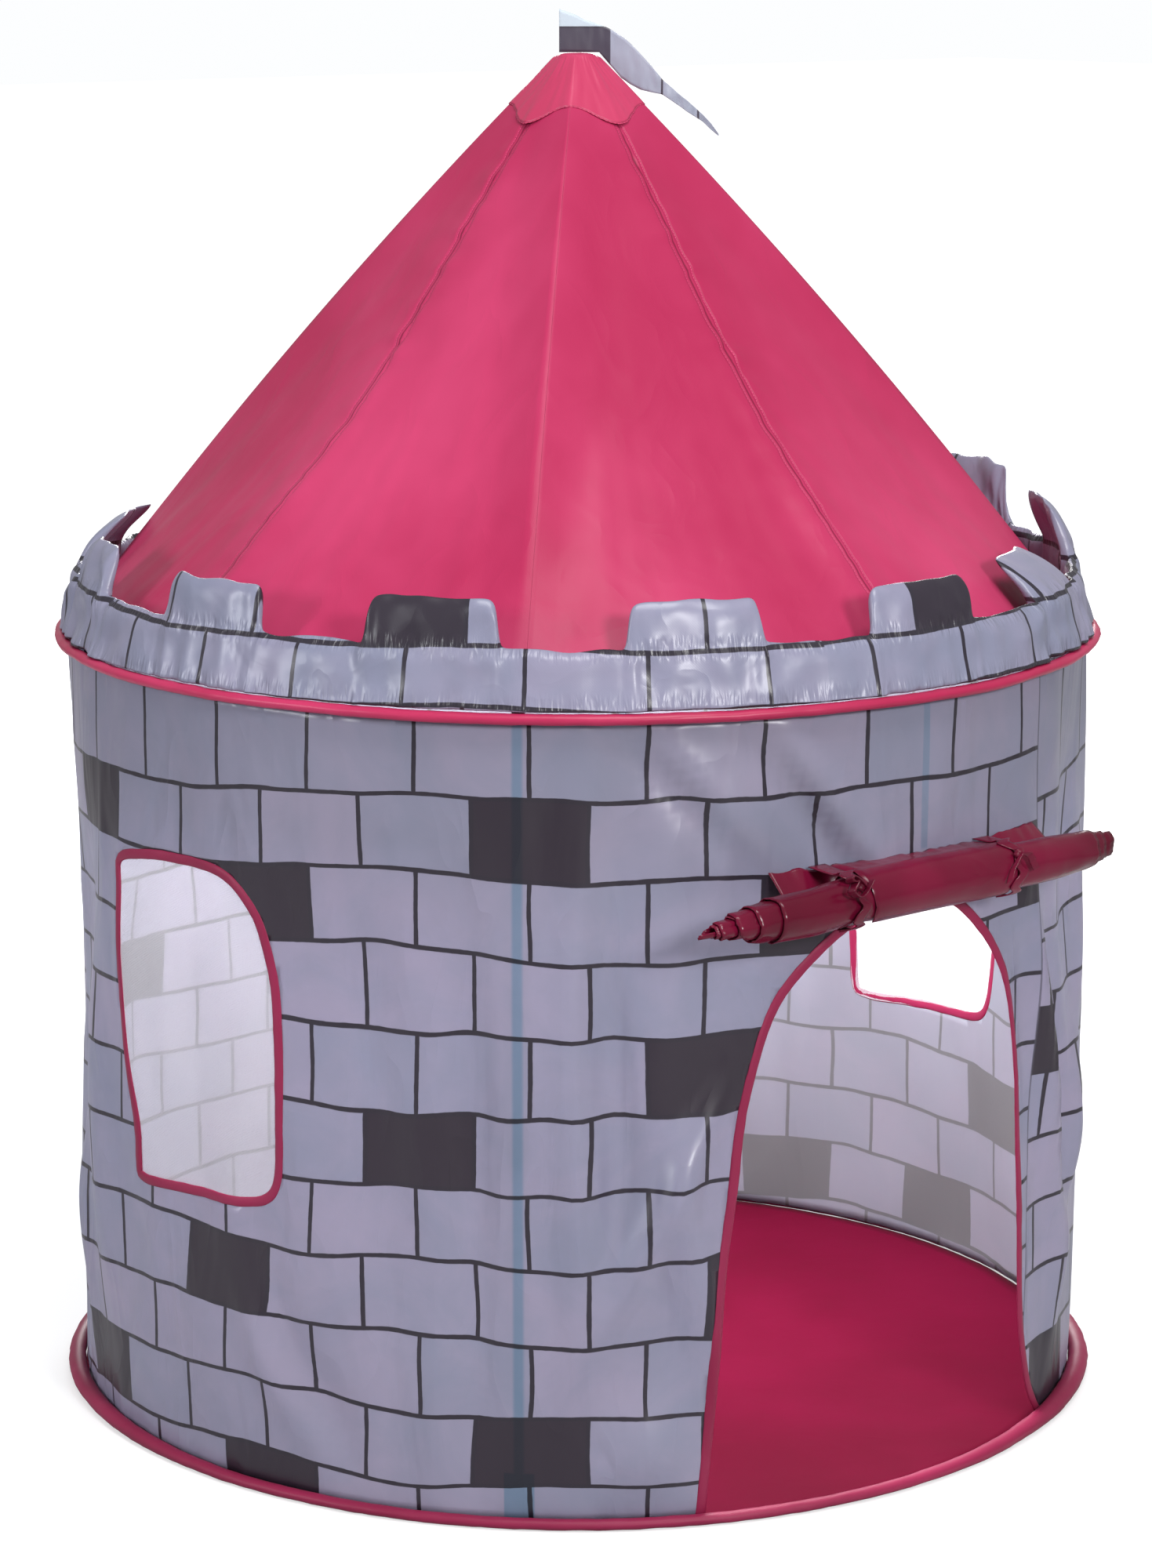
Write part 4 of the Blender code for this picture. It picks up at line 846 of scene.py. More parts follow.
rows = [[Vector((mix(WALL_START, WALL_END, i / WALL_COLUMNS), 0.0,
                 mix(WALL_FOOT, WALL_HEAD, j / WALL_ROWS))) for i in range(WALL_COLUMNS + 1)]
        for j in range(WALL_ROWS + 1)]
wall = sheet_from_rows("printed_wall", rows, lambda across, up: (0.0, 0.0), WALL_CLOTH)
wall.data.materials.append(WALL_REVERSE)
thicken(wall, inner_slot=1)
doorway = door_path()
doorway = [(doorway[0][0], BELOW_GROUND), *doorway, (doorway[-1][0], BELOW_GROUND)]
for round_again in (0.0, 2.0 * math.pi * WALL_ROUND):
    cut(wall, flat_cutter("door_cut", [(x - round_again, z) for x, z in doorway]))
for side, azimuth in WINDOWS:
    cut(wall, flat_cutter("window_cut", window_path(azimuth)))

with opened(wall.data) as editing:
    uv_layer = editing.loops.layers.uv["cloth"]
    ends = []
    for face in editing.faces:
        middle = face.calc_center_median().x
        from_end = min(abs(middle - WALL_START), abs(middle - WALL_END))
        if abs(face.normal.x) > 0.9 and from_end < 0.00001:
            ends.append(face)
        for loop in face.loops:
            share = (WALL_END - loop.vert.co.x) / (WALL_END - WALL_START)
            loop[uv_layer].uv = (loop.vert.co.x, loop.vert.co.z + PRINT_RISE * ease(share))
    bmesh.ops.delete(editing, geom=ends, context="FACES_ONLY")
    for vert in editing.verts:
        vert.co = wall_place(vert.co.x, vert.co.z, -vert.co.y)
    bmesh.ops.remove_doubles(editing, verts=editing.verts, dist=0.00002)
wall.data.shade_smooth()
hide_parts("wall_panel")
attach(wall, "tent")
count_faces(wall)

# %% [markdown]
# ## Bindings
# Every cut edge is bound with a maroon tape folded over it and stitched through. Folded tape is a
# flattened tube, so an oval section is carried along the opening's outline on the flat wall and
# then wrapped like the cloth. It puckers a little where the stitches draw it in.

# %% Tape along an edge
TAPE_INSIDE, TAPE_HALF_WIDE, TAPE_HALF_THICK = 0.0034, 0.0050, 0.0017
TAPE_GIRTH = 0.020
AROUND_TAPE = 14
TAPE_STEP = 0.005


def flat_normals(path, closed):
    """Unit normals of a flat path, to the right of its direction."""
    count = len(path)
    normals = []
    for i in range(count):
        before = path[(i - 1) % count] if closed else path[max(i - 1, 0)]
        after = path[(i + 1) % count] if closed else path[min(i + 1, count - 1)]
        run = Vector((after[0] - before[0], after[1] - before[1])).normalized()
        normals.append((run.y, -run.x))
    return normals


def bound_edge(name, path, closed, inward_sign, node):
    """Tape of 10 mm over an opening's edge, most of it inside the opening."""
    normals = flat_normals(path, closed)
    lengths = [0.0]
    for start, end in zip(path, path[1:] + path[:1]):
        lengths.append(lengths[-1] + math.dist(start, end))
    rows = []
    for turn in range(AROUND_TAPE):
        angle = 2.0 * math.pi * turn / AROUND_TAPE
        row = []
        for (x, z), (nx, nz), along in zip(path, normals, lengths):
            wave = ripple(along * 70.0, turn * 0.6, 2.0)
            across = inward_sign * (TAPE_INSIDE + TAPE_HALF_WIDE * math.cos(angle)
                                    * (1.0 + 0.10 * wave))
            depth = TAPE_HALF_THICK * math.sin(angle) * (1.0 + 0.22 * wave)
            height = max(z + nz * across, WALL_FOOT)
            row.append(wall_place(x + nx * across, height, depth))
        rows.append(row)
    rows.append(rows[0])
    piece = sheet_from_rows(name, rows, lambda across, up: (
        lengths[across], TAPE_GIRTH * up / AROUND_TAPE), TAPE_CLOTH, ring=closed)
    with opened(piece.data) as editing:
        bmesh.ops.remove_doubles(editing, verts=editing.verts, dist=0.00001)
        if not closed:
            bmesh.ops.holes_fill(editing, edges=editing.edges, sides=AROUND_TAPE + 2)
        face_outwards(editing)
    piece.data.shade_smooth()
    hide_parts(node)
    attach(piece, "tent")
    return count_faces(piece)


def spaced(path, gap, closed):
    """The same path with points a set distance apart."""
    points = list(path) + ([path[0]] if closed else [])
    lengths = [0.0]
    for start, end in zip(points, points[1:]):
        lengths.append(lengths[-1] + math.dist(start, end))
    count = max(int(lengths[-1] / gap), 2)
    made, at = [], 0
    for i in range(count if closed else count + 1):
        want = lengths[-1] * i / count
        while at < len(lengths) - 2 and lengths[at + 1] < want:
            at += 1
        share = (want - lengths[at]) / max(lengths[at + 1] - lengths[at], 1e-9)
        made.append((mix(points[at][0], points[at + 1][0], share),
                     mix(points[at][1], points[at + 1][1], share)))
    return made


door_edge = [(x, max(z, WALL_FOOT)) for x, z in door_path()]
door_tape = bound_edge("door_edge_tape", spaced(door_edge, TAPE_STEP, False), False, 1.0,
                       "door_binding")
window_tapes = [bound_edge(
    "window_edge_tape_" + side, spaced(window_path(azimuth), TAPE_STEP, True), True, -1.0,
    "window_binding_" + side) for side, azimuth in WINDOWS]

# %% [markdown]
# ## Window nets
# The windows are soft white gauze. Its holes are about a millimetre wide, far too many to model,
# so the net is one curved sheet whose material lets light through between the threads: a square
# pattern drives the shader's Alpha. The sheet is built as rings that shrink towards its middle.

# %% Net material and sheets
THREADS_PER_METRE = 900.0
NET_OUT = -0.0006
NET_RINGS = 16
NET_MIDDLE = 0.440
NET_STEP = 0.006
net_finish, net_tree, net_shader = start_material("white_net")
threads = step(net_tree, "MAXIMUM", *[
    remap(net_tree, off(net_tree, step(net_tree, "FRACT", times(
        net_tree, way, THREADS_PER_METRE)), 0.5), 0.26, 0.34)
    for way in x_and_y(net_tree, cloth_uv(net_tree))])
net_tone = cloud(net_tree, object_place(net_tree), 9.0, 3.0)
feed_all(net_tree, net_shader, {
    "Alpha": step(net_tree, "MULTIPLY_ADD", threads, 0.36,
                  step(net_tree, "MULTIPLY_ADD", net_tone, 0.10, 0.10)),
    "Base Color": mix_colour(net_tree, net_tone, (0.68, 0.67, 0.75), (0.77, 0.76, 0.82)),
    "Roughness": remap(net_tree, net_tone, 0.3, 0.7, 0.6, 0.8),
    "Normal": bump(net_tree, net_tone, 0.002)})

for side, azimuth in WINDOWS:
    edge = spaced(window_path(azimuth), NET_STEP, True)
    middle = (math.radians(azimuth) * WALL_ROUND, NET_MIDDLE)
    spots = [[(mix(middle[0], x, j / NET_RINGS), mix(middle[1], z, j / NET_RINGS))
              for x, z in edge] for j in range(1, NET_RINGS + 1)]
    rows = [[wall_place(x, z, NET_OUT + 0.0012 * ripple(14.0 * x, 0.0, 9.0 * z)) for x, z in ring]
            for ring in spots]
    net = sheet_from_rows("window_gauze_" + side, rows, lambda across, up: spots[up][
        across % len(spots[up])], net_finish, ring=True, flip=True)
    with opened(net.data) as editing:
        uv_layer = editing.loops.layers.uv["cloth"]
        centre = editing.verts.new(wall_place(middle[0], middle[1], NET_OUT))
        editing.verts.ensure_lookup_table()
        for i in range(len(edge)):
            j = (i + 1) % len(edge)
            made = editing.faces.new((editing.verts[i], editing.verts[j], centre))
            for loop, spot in zip(made.loops, (spots[0][i], spots[0][j], middle)):
                loop[uv_layer].uv = spot
            made.smooth = True
        face_outwards(editing)
    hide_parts("window_net_" + side)
    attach(net, "tent")
    count_faces(net)

# %% [markdown]
# ## Hoop sleeves
# A spring hoop runs inside each sleeve, a strip of cloth folded over the wire and sewn to the
# wall. Sewing a straight strip round a circle always puckers it, so the tube's section is carried
# round the hoop and its size varies with a quick, small noise.

# %% Sleeves
SLEEVE_SEAT = HOOP_ROUND - 0.0008
SLEEVE_HALF_WIDE, SLEEVE_HALF_TALL = 0.0066, 0.0052
LOWEST = 0.0002


def hoop_sleeve(name, middle, finish, node, sway, broad):
    """Strip folded round a hoop; broad makes it fuller where the cloth hangs loose."""
    stations, around_wire = 420, 16
    rows = []
    for turn in range(around_wire + 1):
        angle = math.radians(mix(-172.0, 172.0, turn / around_wire))
        row = []
        for i in range(stations):
            azimuth = 360.0 * i / stations
            spot = tent_point(azimuth, 1.0, 0.0)
            full = 1.0 + broad * (hump(turn_between(azimuth, 36.0), 26.0)
                                  + 0.7 * hump(turn_between(azimuth, -112.0), 24.0))
            size = full + 0.10 * ripple_at(spot, 34.0, 0.9 * math.sin(angle))
            size += 0.05 * ripple_at(spot, 90.0, 1.4 * math.cos(angle))
            out = SLEEVE_HALF_WIDE * (math.cos(angle) * size + full - 1.0)
            out += sway * 0.0022 * ripple_at(spot, 5.0, 4.0)
            height = middle + SLEEVE_HALF_TALL * (math.sin(angle) * size + full - 1.0)
            height += sway * 0.0008 * ripple_at(spot, 4.0, 8.0)
            row.append(tent_point(azimuth, SLEEVE_SEAT + out, max(height, LOWEST)))
        rows.append(row)
    sleeve = sheet_from_rows(name, rows, lambda across, up: (
        3.267 * across / stations, 0.037 * up / around_wire), finish, ring=True)
    thicken(sleeve, offset=-1.0)
    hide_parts(node)
    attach(sleeve, "tent")
    count_faces(sleeve)


hoop_sleeve("rim_hem_cloth", RIM_HEIGHT, EDGE_PINK, "rim_sleeve", 1.0, 0.0)
hoop_sleeve("base_hem_cloth", 0.00535, TAPE_CLOTH, "base_sleeve", 0.4, 0.6)

# %% [markdown]
# ## Floor
# The floor is a disc of maroon cloth sewn into the lower sleeve. It lies on the ground, so it
# only ripples by a millimetre or two, with short radial puckers at its edge. A grid of rings
# follows both.

# %% Floor cloth
FLOOR_ROUND, FLOOR_LEVEL = 0.5125, 0.0013
floor_rings, floor_spokes = 26, 180
rows = []
for j in range(floor_rings + 1):
    radius = FLOOR_ROUND * (j / floor_rings) ** 0.9 if j else 0.0005
    row = []
    for i in range(floor_spokes):
        azimuth = 360.0 * i / floor_spokes
        turn = math.radians(azimuth)
        lift = 0.0016 * max(ripple_at(tent_point(azimuth, radius, 0.0), 6.0, 1.0), 0.0)
        lift += 0.0012 * max(ripple(30.0 * math.sin(turn), 30.0 * math.cos(turn), 3.0),
                             0.0) * ease((radius - 0.40) / 0.10)
        row.append(tent_point(azimuth, radius, FLOOR_LEVEL + lift))
    rows.append(row)
floor_cloth = sheet_from_rows("maroon_floor", rows, lambda across, up: rows[up][
    across % floor_spokes].xy, FLOOR_CLOTH, ring=True)
fill_ring(floor_cloth, 0, floor_spokes)
thicken(floor_cloth, 0.0008, offset=-1.0)
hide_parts("floor_panel")
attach(floor_cloth, "tent")
count_faces(floor_cloth)

# %% [markdown]
# ## Roof
# Four gores of pink cloth are pulled over four bent poles. The cloth is tight along each pole and
# dips towards the sewn seam between two of them, where it puckers. The frame's own formula for
# the ridges and the seams is used, with many more rows, and the puckers and slack are added on
# top, so the roof stays just where the poles hold it.

# %% Roof surface
POLE_ROUND = 0.50345
POLE_TOP = Vector((0.022, 1.317))
POLE_CORNER = Vector((POLE_ROUND, 0.767))
POLE_BOW = 0.011
RIDGE_SEAT = 0.0105
# Share of the roof's height, and the seams' radius as a share of the ridges' there.
SEAM_DRAW = ((0.0, 1.0), (0.10, 0.985), (0.22, 0.945), (0.40, 0.86), (0.60, 0.81), (1.0, 0.80))


def ridge_point(share):
    """Outer face of the cloth over a pole, as radius and height."""
    run = POLE_TOP - POLE_CORNER
    normal = Vector((run.y, -run.x)).normalized()
    point = POLE_CORNER + run * share + normal * (4.0 * POLE_BOW * share * (1.0 - share))
    along = run + normal * (4.0 * POLE_BOW * (1.0 - 2.0 * share))
    return point + Vector((along.y, -along.x)).normalized() * RIDGE_SEAT


def ridge_radius(height):
    """Radius of the ridge at a height, found by halving the range again and again."""
    low, high = -0.2, 1.2
    for _ in range(26):
        middle = (low + high) / 2
        if ridge_point(middle).y >= height:
            high = middle
        else:
            low = middle
    return ridge_point((low + high) / 2).x


def roof_round(azimuth, height, ridge):
    """Distance of the roof's cloth from the axis, ridges at the poles and seams between."""
    up = (height - RIM_TOP) / (PEAK - RIM_TOP)
    seam = ridge * from_table(SEAM_DRAW, up)
    turns = pole_turn(azimuth)
    turn, span = math.radians(turns), math.radians(45.0)
    flat = math.sin(span) / (math.sin(span - turn) / ridge + math.sin(turn) / seam)
    rounded = mix(ridge, seam, ease(turns / 45.0))
    return mix(rounded, flat, ease(up / 0.30))


def roof_relief(spot, azimuth, height, held, off_pole, beside):
    """Slack between the poles, gathers above the rim and puckers along the sewn seams."""
    slack = pole_turn(azimuth) / 45.0
    turn = math.radians(azimuth)
    relief = 0.0064 * slack * held * ripple_at(spot, 5.5, 3.2 * height)
    relief += 0.0016 * slack * held * ripple_at(spot, 17.0, 9.0 * height)
    relief += held * (0.0010 * hump(off_pole, 0.014) - 0.0026 * hump(off_pole - 0.044, 0.026))
    relief += 0.0062 * held * ripple(15.0 * math.sin(turn), 15.0 * math.cos(turn),
                                     2.0 * height) * hump(height - 0.78, 0.15)
    pull = hump(beside, 0.024)
    relief += 0.0042 * pull * ripple(1.0, 3.0 if beside > 0 else 9.0, 62.0 * height)
    relief += 0.0012 * pull * ripple(5.0, 7.0 if beside > 0 else 2.0, 140.0 * height)
    return relief - 0.0030 * hump(beside, 0.005)


ROOF_ROWS, ROOF_COLUMNS = 96, 320
ROOF_SLOPE = 1.30
roof_foot, roof_head = RIM_TOP + 0.0012, CAP_HEM + 0.012
rows, places = [], []
for j in range(ROOF_ROWS + 1):
    height = mix(roof_foot, roof_head, j / ROOF_ROWS)
    ridge = ridge_radius(height)
    held = math.sin(math.pi * min((j + 0.5) / ROOF_ROWS, 1.0)) ** 0.5
    row, place_row = [], []
    for i in range(ROOF_COLUMNS):
        azimuth = 360.0 * i / ROOF_COLUMNS
        radius = roof_round(azimuth, height, ridge)
        nearest = min(SEAMS, key=lambda seam: turn_between(azimuth, seam))
        beside = ((azimuth - nearest + 180.0) % 360.0 - 180.0) * math.pi / 180.0 * radius
        off_pole = pole_turn(azimuth) * math.pi / 180.0 * radius
        relief = roof_relief(tent_point(azimuth, radius, height), azimuth, height, held,
                             off_pole, beside)
        row.append(tent_point(azimuth, radius - 0.0004 + relief, height))
        place_row.append((beside, ROOF_SLOPE * (height - roof_foot)))
    rows.append(row)
    places.append(place_row)

roof = sheet_from_rows("pink_roof", rows, lambda across, up: places[up][across % ROOF_COLUMNS],
                       ROOF_CLOTH, ring=True)
thicken(roof, offset=-1.0)
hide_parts("roof_canopy")
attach(roof, "tent")
count_faces(roof)

# %% [markdown]
# ## Peak cap
# A small cap of the same cloth is sewn over the point, where four gores would be too thick to
# stitch neatly. Its hem stands a millimetre proud of the roof and its crown gathers over the hub.
# It is a stack of rings from the hem to the crown. Its colour is paler than the roof's, as a
# painted highlight where the top of the tent catches the light.

# %% Cap
CAP_BEND = 0.86
CROWN = 0.0030
cap_rings, cap_spokes = 30, 144
rows = []
for j in range(cap_rings + 1):
    share = j / cap_rings
    row = []
    for i in range(cap_spokes):
        azimuth = 360.0 * i / cap_spokes
        if share < CAP_BEND:
            hem = CAP_HEM + 0.003 - 0.017 * ease(pole_turn(azimuth) / 45.0)
            height = mix(hem, PEAK - CROWN, share / CAP_BEND)
            radius = max(roof_round(azimuth, height, ridge_radius(height)), PEAK_ROUND - 0.0004)
            radius += 0.0010 + 0.0010 * ripple(azimuth * 0.16, 0.0, 34.0 * height)
        else:
            over = 0.5 * math.pi * (share - CAP_BEND) / (1.0 - CAP_BEND)
            radius = (PEAK_ROUND + 0.0004) * math.cos(over) + 0.0002
            height = PEAK - CROWN + CROWN * math.sin(over) ** 0.6
        row.append(tent_point(azimuth, radius, height))
    rows.append(row)
cap = sheet_from_rows("pink_cap", rows, lambda across, up: (
    0.0045 + 0.06 * up / cap_rings, 0.30 * across / cap_spokes), PALER_LIT_CAP_CLOTH, ring=True)
fill_ring(cap, -cap_spokes)
cap.data.shade_smooth()
thicken(cap, offset=-1.0)
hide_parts("apex_cap")
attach(cap, "tent")
count_faces(cap)

# %% [markdown]
# ## Battlement
# The battlement is a wadded band with thirteen square teeth, printed like the wall. Quilted cloth
# is thin where it is sewn and fat in between, so its thickness grows with the distance from the
# sewn outline. The band is lofted round the rim, station by station, and some teeth flop inward
# as they do on the real tent.

# %% Battlement band
TEETH = 13
TOOTH_TURN = 1.1
TOOTH_TALL = 0.043
BAND_ROUND = 0.5150
BAND_UV_ROUND = 0.52
BAND_FULL, TOOTH_FULL, SEWN_THICK = 0.0175, 0.0125, 0.0016
BAND_FOOT = RIM_TOP + 0.0003
# Of each tooth: how far it flops inward, how far it is sprung up, and how much it is gathered.
FLOPS = (0.10, 0.95, 0.45, -0.20, 0.15, 0.05, 0.12, 0.05, 0.75, 0.18, 0.05, 0.02, 0.08)
SPRUNG = (0.0, 0.004, 0.026, 0.030, 0.012, 0.0, 0.0, 0.004, 0.012, 0.006, 0.0, 0.0, 0.0)
GATHERED = (0.0, 0.22, 0.08, -0.20, 0.0, 0.0, 0.0, 0.0, 0.10, 0.24, 0.0, 0.0, 0.0)
TOOTH_SIDE = 0.265
# Distance inside the tooth's side, and the share of its height reached there.
TOOTH_CORNER = ((-0.006, 0.0), (-0.002, 0.03), (0.0, 0.12), (0.002, 0.45), (0.004, 0.76),
                (0.006, 0.90), (0.009, 0.965), (0.013, 0.99), (0.019, 1.0))


def tooth_height(off_middle, pitch, gathered):
    """Height of a tooth over the band at a distance from its middle, as a share."""
    inside = (TOOTH_SIDE - gathered * 0.25) * pitch - abs(off_middle)
    return from_table(TOOTH_CORNER, inside) if inside > -0.006 else 0.0


def band_stations():
    """Azimuths round the band, close together at the sides of the teeth."""
    pitch = 360.0 / TEETH
    shares = [0.0, 0.05, 0.10, 0.15, 0.19, 0.213, 0.224, 0.232, 0.238, 0.244, 0.251, 0.258,
              0.266, 0.275, 0.286, 0.30, 0.32, 0.345, 0.375, 0.41, 0.44, 0.47]
    shares = shares + [1.0 - share for share in shares[:0:-1]]
    for tooth in range(TEETH):
        for share in shares:
            yield tooth, TOOTH_TURN + pitch * (tooth - 0.5 + share), share


def band_thickness(off_middle, up, tall, pitch):
    """Fat in the middle of the wadding and thin at the sewn outline."""
    to_side = TOOTH_SIDE * pitch - abs(off_middle) if up > BAND_TALL else 1.0
    edge = max(min(tall - up, to_side, up + 0.004), 0.0)
    full = BAND_FULL if up < BAND_TALL * 0.9 else TOOTH_FULL
    crown = math.sqrt(max(1.0 - (1.0 - min(edge / 0.020, 1.0)) ** 2, 0.0))
    return SEWN_THICK + (full - SEWN_THICK) * crown


def band_sprung(azimuth):
    """How much taller the band stands near the teeth that are sprung up, as a share."""
    return 1.0 + sum(rise * hump(turn_between(azimuth, TOOTH_TURN + 360.0 * k / TEETH), 15.0)
                     for k, rise in enumerate(SPRUNG)) / (BAND_TALL + TOOTH_TALL)


levels = 18
band_turn = 2.0 * math.pi * BAND_UV_ROUND
rows = []
band_uv = []
arc_pitch = math.radians(360.0 / TEETH) * BAND_ROUND
for tooth, azimuth, share in band_stations():
    off_middle = (share - 0.5) * arc_pitch
    spot = tent_point(azimuth, 1.0, 0.0)
    tall = BAND_TALL + TOOTH_TALL * tooth_height(off_middle, arc_pitch, GATHERED[tooth])
    tall += 0.0042 * ripple_at(spot, 15.0, 1.0)
    flop = FLOPS[tooth]
    crumpled = 1.0 + 5.0 * abs(GATHERED[tooth])
    sprung = band_sprung(azimuth)
    outside, inside, uv_out = [], [], []
    for k in range(levels + 1):
        up = tall * k / levels
        above = max(up - BAND_TALL, 0.0)
        lean = 0.017 * min(up / BAND_TALL, 1.0) ** 0.6 + above * 0.15
        lean += flop * TOOTH_TALL * (above / TOOTH_TALL) ** 1.4
        rise = (up - 0.22 * flop * above) * sprung
        thick = band_thickness(off_middle, up, tall, arc_pitch)
        quilt = ripple_at(spot, 21.0, 26.0 * up)
        small = ripple_at(spot, 60.0, 30.0 * up + 5.0)
        foot_pucker = 0.0020 * math.exp(-up / 0.012) * ripple_at(spot, 75.0, 2.0)
        drawn = ripple_at(spot, 30.0, 9.0 * up)
        slack = 0.25 - abs(ripple_at(spot, 17.0, 20.0 * up + 3.0))
        push = (0.0026 * quilt + 0.0012 * small + 0.0026 * drawn + 0.0050 * slack) * crumpled
        radius = BAND_ROUND - lean
        height = BAND_FOOT + rise
        outside.append(tent_point(azimuth, radius + thick / 2 + push + foot_pucker, height))
        inside.append(tent_point(azimuth, radius - thick / 2 + push - foot_pucker, height))
        uv_out.append((math.radians(azimuth) * BAND_UV_ROUND, up))
    rows.append(outside + inside[::-1])
    band_uv.append(uv_out + uv_out[::-1])

mesh = bpy.data.meshes.new("padded_battlement")
count = len(rows[0])
faces, places = [], []
for i in range(len(rows)):
    beside = (i + 1) % len(rows)
    for k in range(count):
        above = (k + 1) % count
        corners = ((i, k), (beside, k), (beside, above), (i, above))
        faces.append([station * count + level for station, level in corners])
        for station, level in corners:
            u, v = band_uv[station][level]
            places.append((u + (band_turn if station == beside == 0 else 0.0), v))
mesh.from_pydata([point for row in rows for point in row], [], faces)
write_uv(mesh, places)
mesh.shade_smooth()
band = new_piece("padded_battlement", mesh)
with opened(mesh) as editing:
    face_outwards(editing)
mesh.materials.append(BAND_CLOTH)
softer = band.modifiers.new("softer", "SUBSURF")
softer.levels = softer.render_levels = 1
apply_all(band)
band.data.shade_smooth()
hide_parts("battlement_band")
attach(band, "tent")
count_faces(band)

# %% [markdown]
# ## Rolled door
# The door flap is rolled up tight from its lower edge and hangs under the seam over the doorway.
# A roll is a spiral: one sheet wound round an axis, each turn about 3 mm inside the last one.
# Because the flap is not square, its inner turns run out past the outer ones, which gives the
# stepped, telescoped end on the left.

# %% Door roll
ROLL_AXIS_Y = -0.5370
ROLL_AXIS_Z = 0.597
ROLL_SIZE = 0.0224
ROLL_CORE = 0.0045
ROLL_WINDS = 6.5
# Share of the roll's length from its left end, and how full it is there.
GIRTH = ((0.0, 0.80), (0.10, 0.98), (0.36, 1.06), (0.64, 1.06), (0.86, 0.98), (1.0, 0.80))


def roll_place(x, angle, radius):
    """Point round the roll: 0 degrees faces away from the tent and 90 is the top."""
    turn = math.radians(angle)
    sag = 0.0022 * ripple(5.0 * x, 0.0, 11.0) - 0.004 * ease((-x - 0.10) / 0.08)
    return Vector((x, ROLL_AXIS_Y - radius * math.cos(turn),
                   ROLL_AXIS_Z + 0.010 * x + sag + radius * math.sin(turn)))


def roll_girth(x):
    """How full the roll is at a place along it."""
    return from_table(GIRTH, (x + 0.256) / 0.458)


# Share of the winding from the outside in, and where that turn's left end lies.
LEFT_ENDS = ((0.0, -0.212), (0.14, -0.216), (0.17, -0.236), (0.34, -0.243), (0.37, -0.258),
             (0.60, -0.262), (0.66, -0.277), (0.85, -0.281), (1.0, -0.301))
wind_steps, roll_stations, door_long = 200, 84, 0.54
rows, roll_uv = [], []
for j in range(wind_steps + 1):
    inward = j / wind_steps
    left = from_table(LEFT_ENDS, inward) + 0.006 * ripple(14.0 * inward, 2.0, 0.0)
    right = mix(0.188, 0.217, ease(inward / 0.45)) + 0.003 * ripple(8.0 * inward, 7.0, 0.0)
    angle = 196.0 + 360.0 * ROLL_WINDS * inward
    turn = math.radians(angle)
    row, place_row = [], []
    for i in range(roll_stations + 1):
        x = mix(left, right, i / roll_stations)
        radius = mix(ROLL_SIZE, ROLL_CORE, inward) * roll_girth(x)
        ends = ease((-x - 0.19) / 0.05) + 0.6 * ease((x - 0.15) / 0.04)
        for deep, more, fine, round_fine in ((0.0010, 0.0022, 16.0, 1.4),
                                             (0.0005, 0.0014, 52.0, 3.2)):
            radius += (deep + more * ends) * ripple(fine * x, round_fine * math.cos(turn),
                                                    round_fine * math.sin(turn))
        tip = ease((x - 0.186) / 0.030)
        radius *= 1.0 - 0.22 * tip * (0.5 + 0.5 * math.cos(2.0 * turn + 60.0 * x))
        row.append(roll_place(x, angle, radius))
        place_row.append((x, door_long * inward))
    rows.append(row)
    roll_uv.append(place_row)
roll = sheet_from_rows("rolled_door_cloth", rows, lambda across, up: roll_uv[up][across],
                       MAROON_CLOTH)
thicken(roll, 0.0008)
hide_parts("door_roll")
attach(roll, "rolled_door")
count_faces(roll)

# %% [markdown]
# ## Strip that carries the roll
# Between the seam and the roll the same cloth shows as a strip. At its ends it hangs behind the
# roll, and between the ties it is pulled forward over it. Each column of the strip is a path from
# the seam to the roll's skin and then round it, and how far round changes along the door.

# %% Hanging strip
SEAM_HEIGHT = 0.620
STRIP_LEFT, STRIP_RIGHT = -0.1709, 0.1667


def pulled_forward(x):
    """1 where the cloth passes over the front of the roll, 0 where it hangs behind."""
    return ease((x + 0.122) / 0.022) * (1.0 - ease((x - 0.066) / 0.022))


strip_columns, strip_rows, free_rows = 110, 40, 12
rows = [[] for j in range(strip_rows + 1)]
strip_uv = [[] for j in range(strip_rows + 1)]
for i in range(strip_columns + 1):
    x = mix(STRIP_LEFT, STRIP_RIGHT, i / strip_columns)
    pull = pulled_forward(x)
    skin = ROLL_SIZE * roll_girth(x) + 0.0017
    gather = 0.0016 * ripple(110.0 * x, 0.0, 0.0) + 0.0010 * ripple(40.0 * x, 5.0, 0.0)
    gather -= 0.004 * hump(x + 0.123, 0.012)
    gather -= 0.003 * hump(x - 0.075, 0.012)
    top = Vector((x, -0.5135 + set_back(x), SEAM_HEIGHT + gather))
    first, last = mix(176.0, 88.0, pull), mix(184.0, -62.0, pull)
    path = []
    contact = roll_place(x, first, skin)
    for k in range(free_rows + 1):
        share = k / free_rows
        point = top.lerp(contact, share)
        point.y -= 0.004 * pull * math.sin(math.pi * share)
        path.append(point)
    wrapped_rows = strip_rows - free_rows
    for k in range(1, wrapped_rows + 1):
        path.append(roll_place(x, mix(first, last, k / wrapped_rows), skin))
    length = 0.0
    for j, point in enumerate(path):
        if j:
            length += (point - path[j - 1]).length
        crumple = 0.0011 * ripple(60.0 * x, 0.0, 30.0 * length) * math.exp(-length / 0.02)
        rows[j].append(point + Vector((0.0, -abs(crumple), 0.0)))
        strip_uv[j].append((x, -length))
strip = sheet_from_rows("door_hanging_strip", rows[::-1], lambda across, up: strip_uv[
    strip_rows - up][across], MAROON_CLOTH)
thicken(strip, 0.0009)
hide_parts("door_header")
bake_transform(strip)
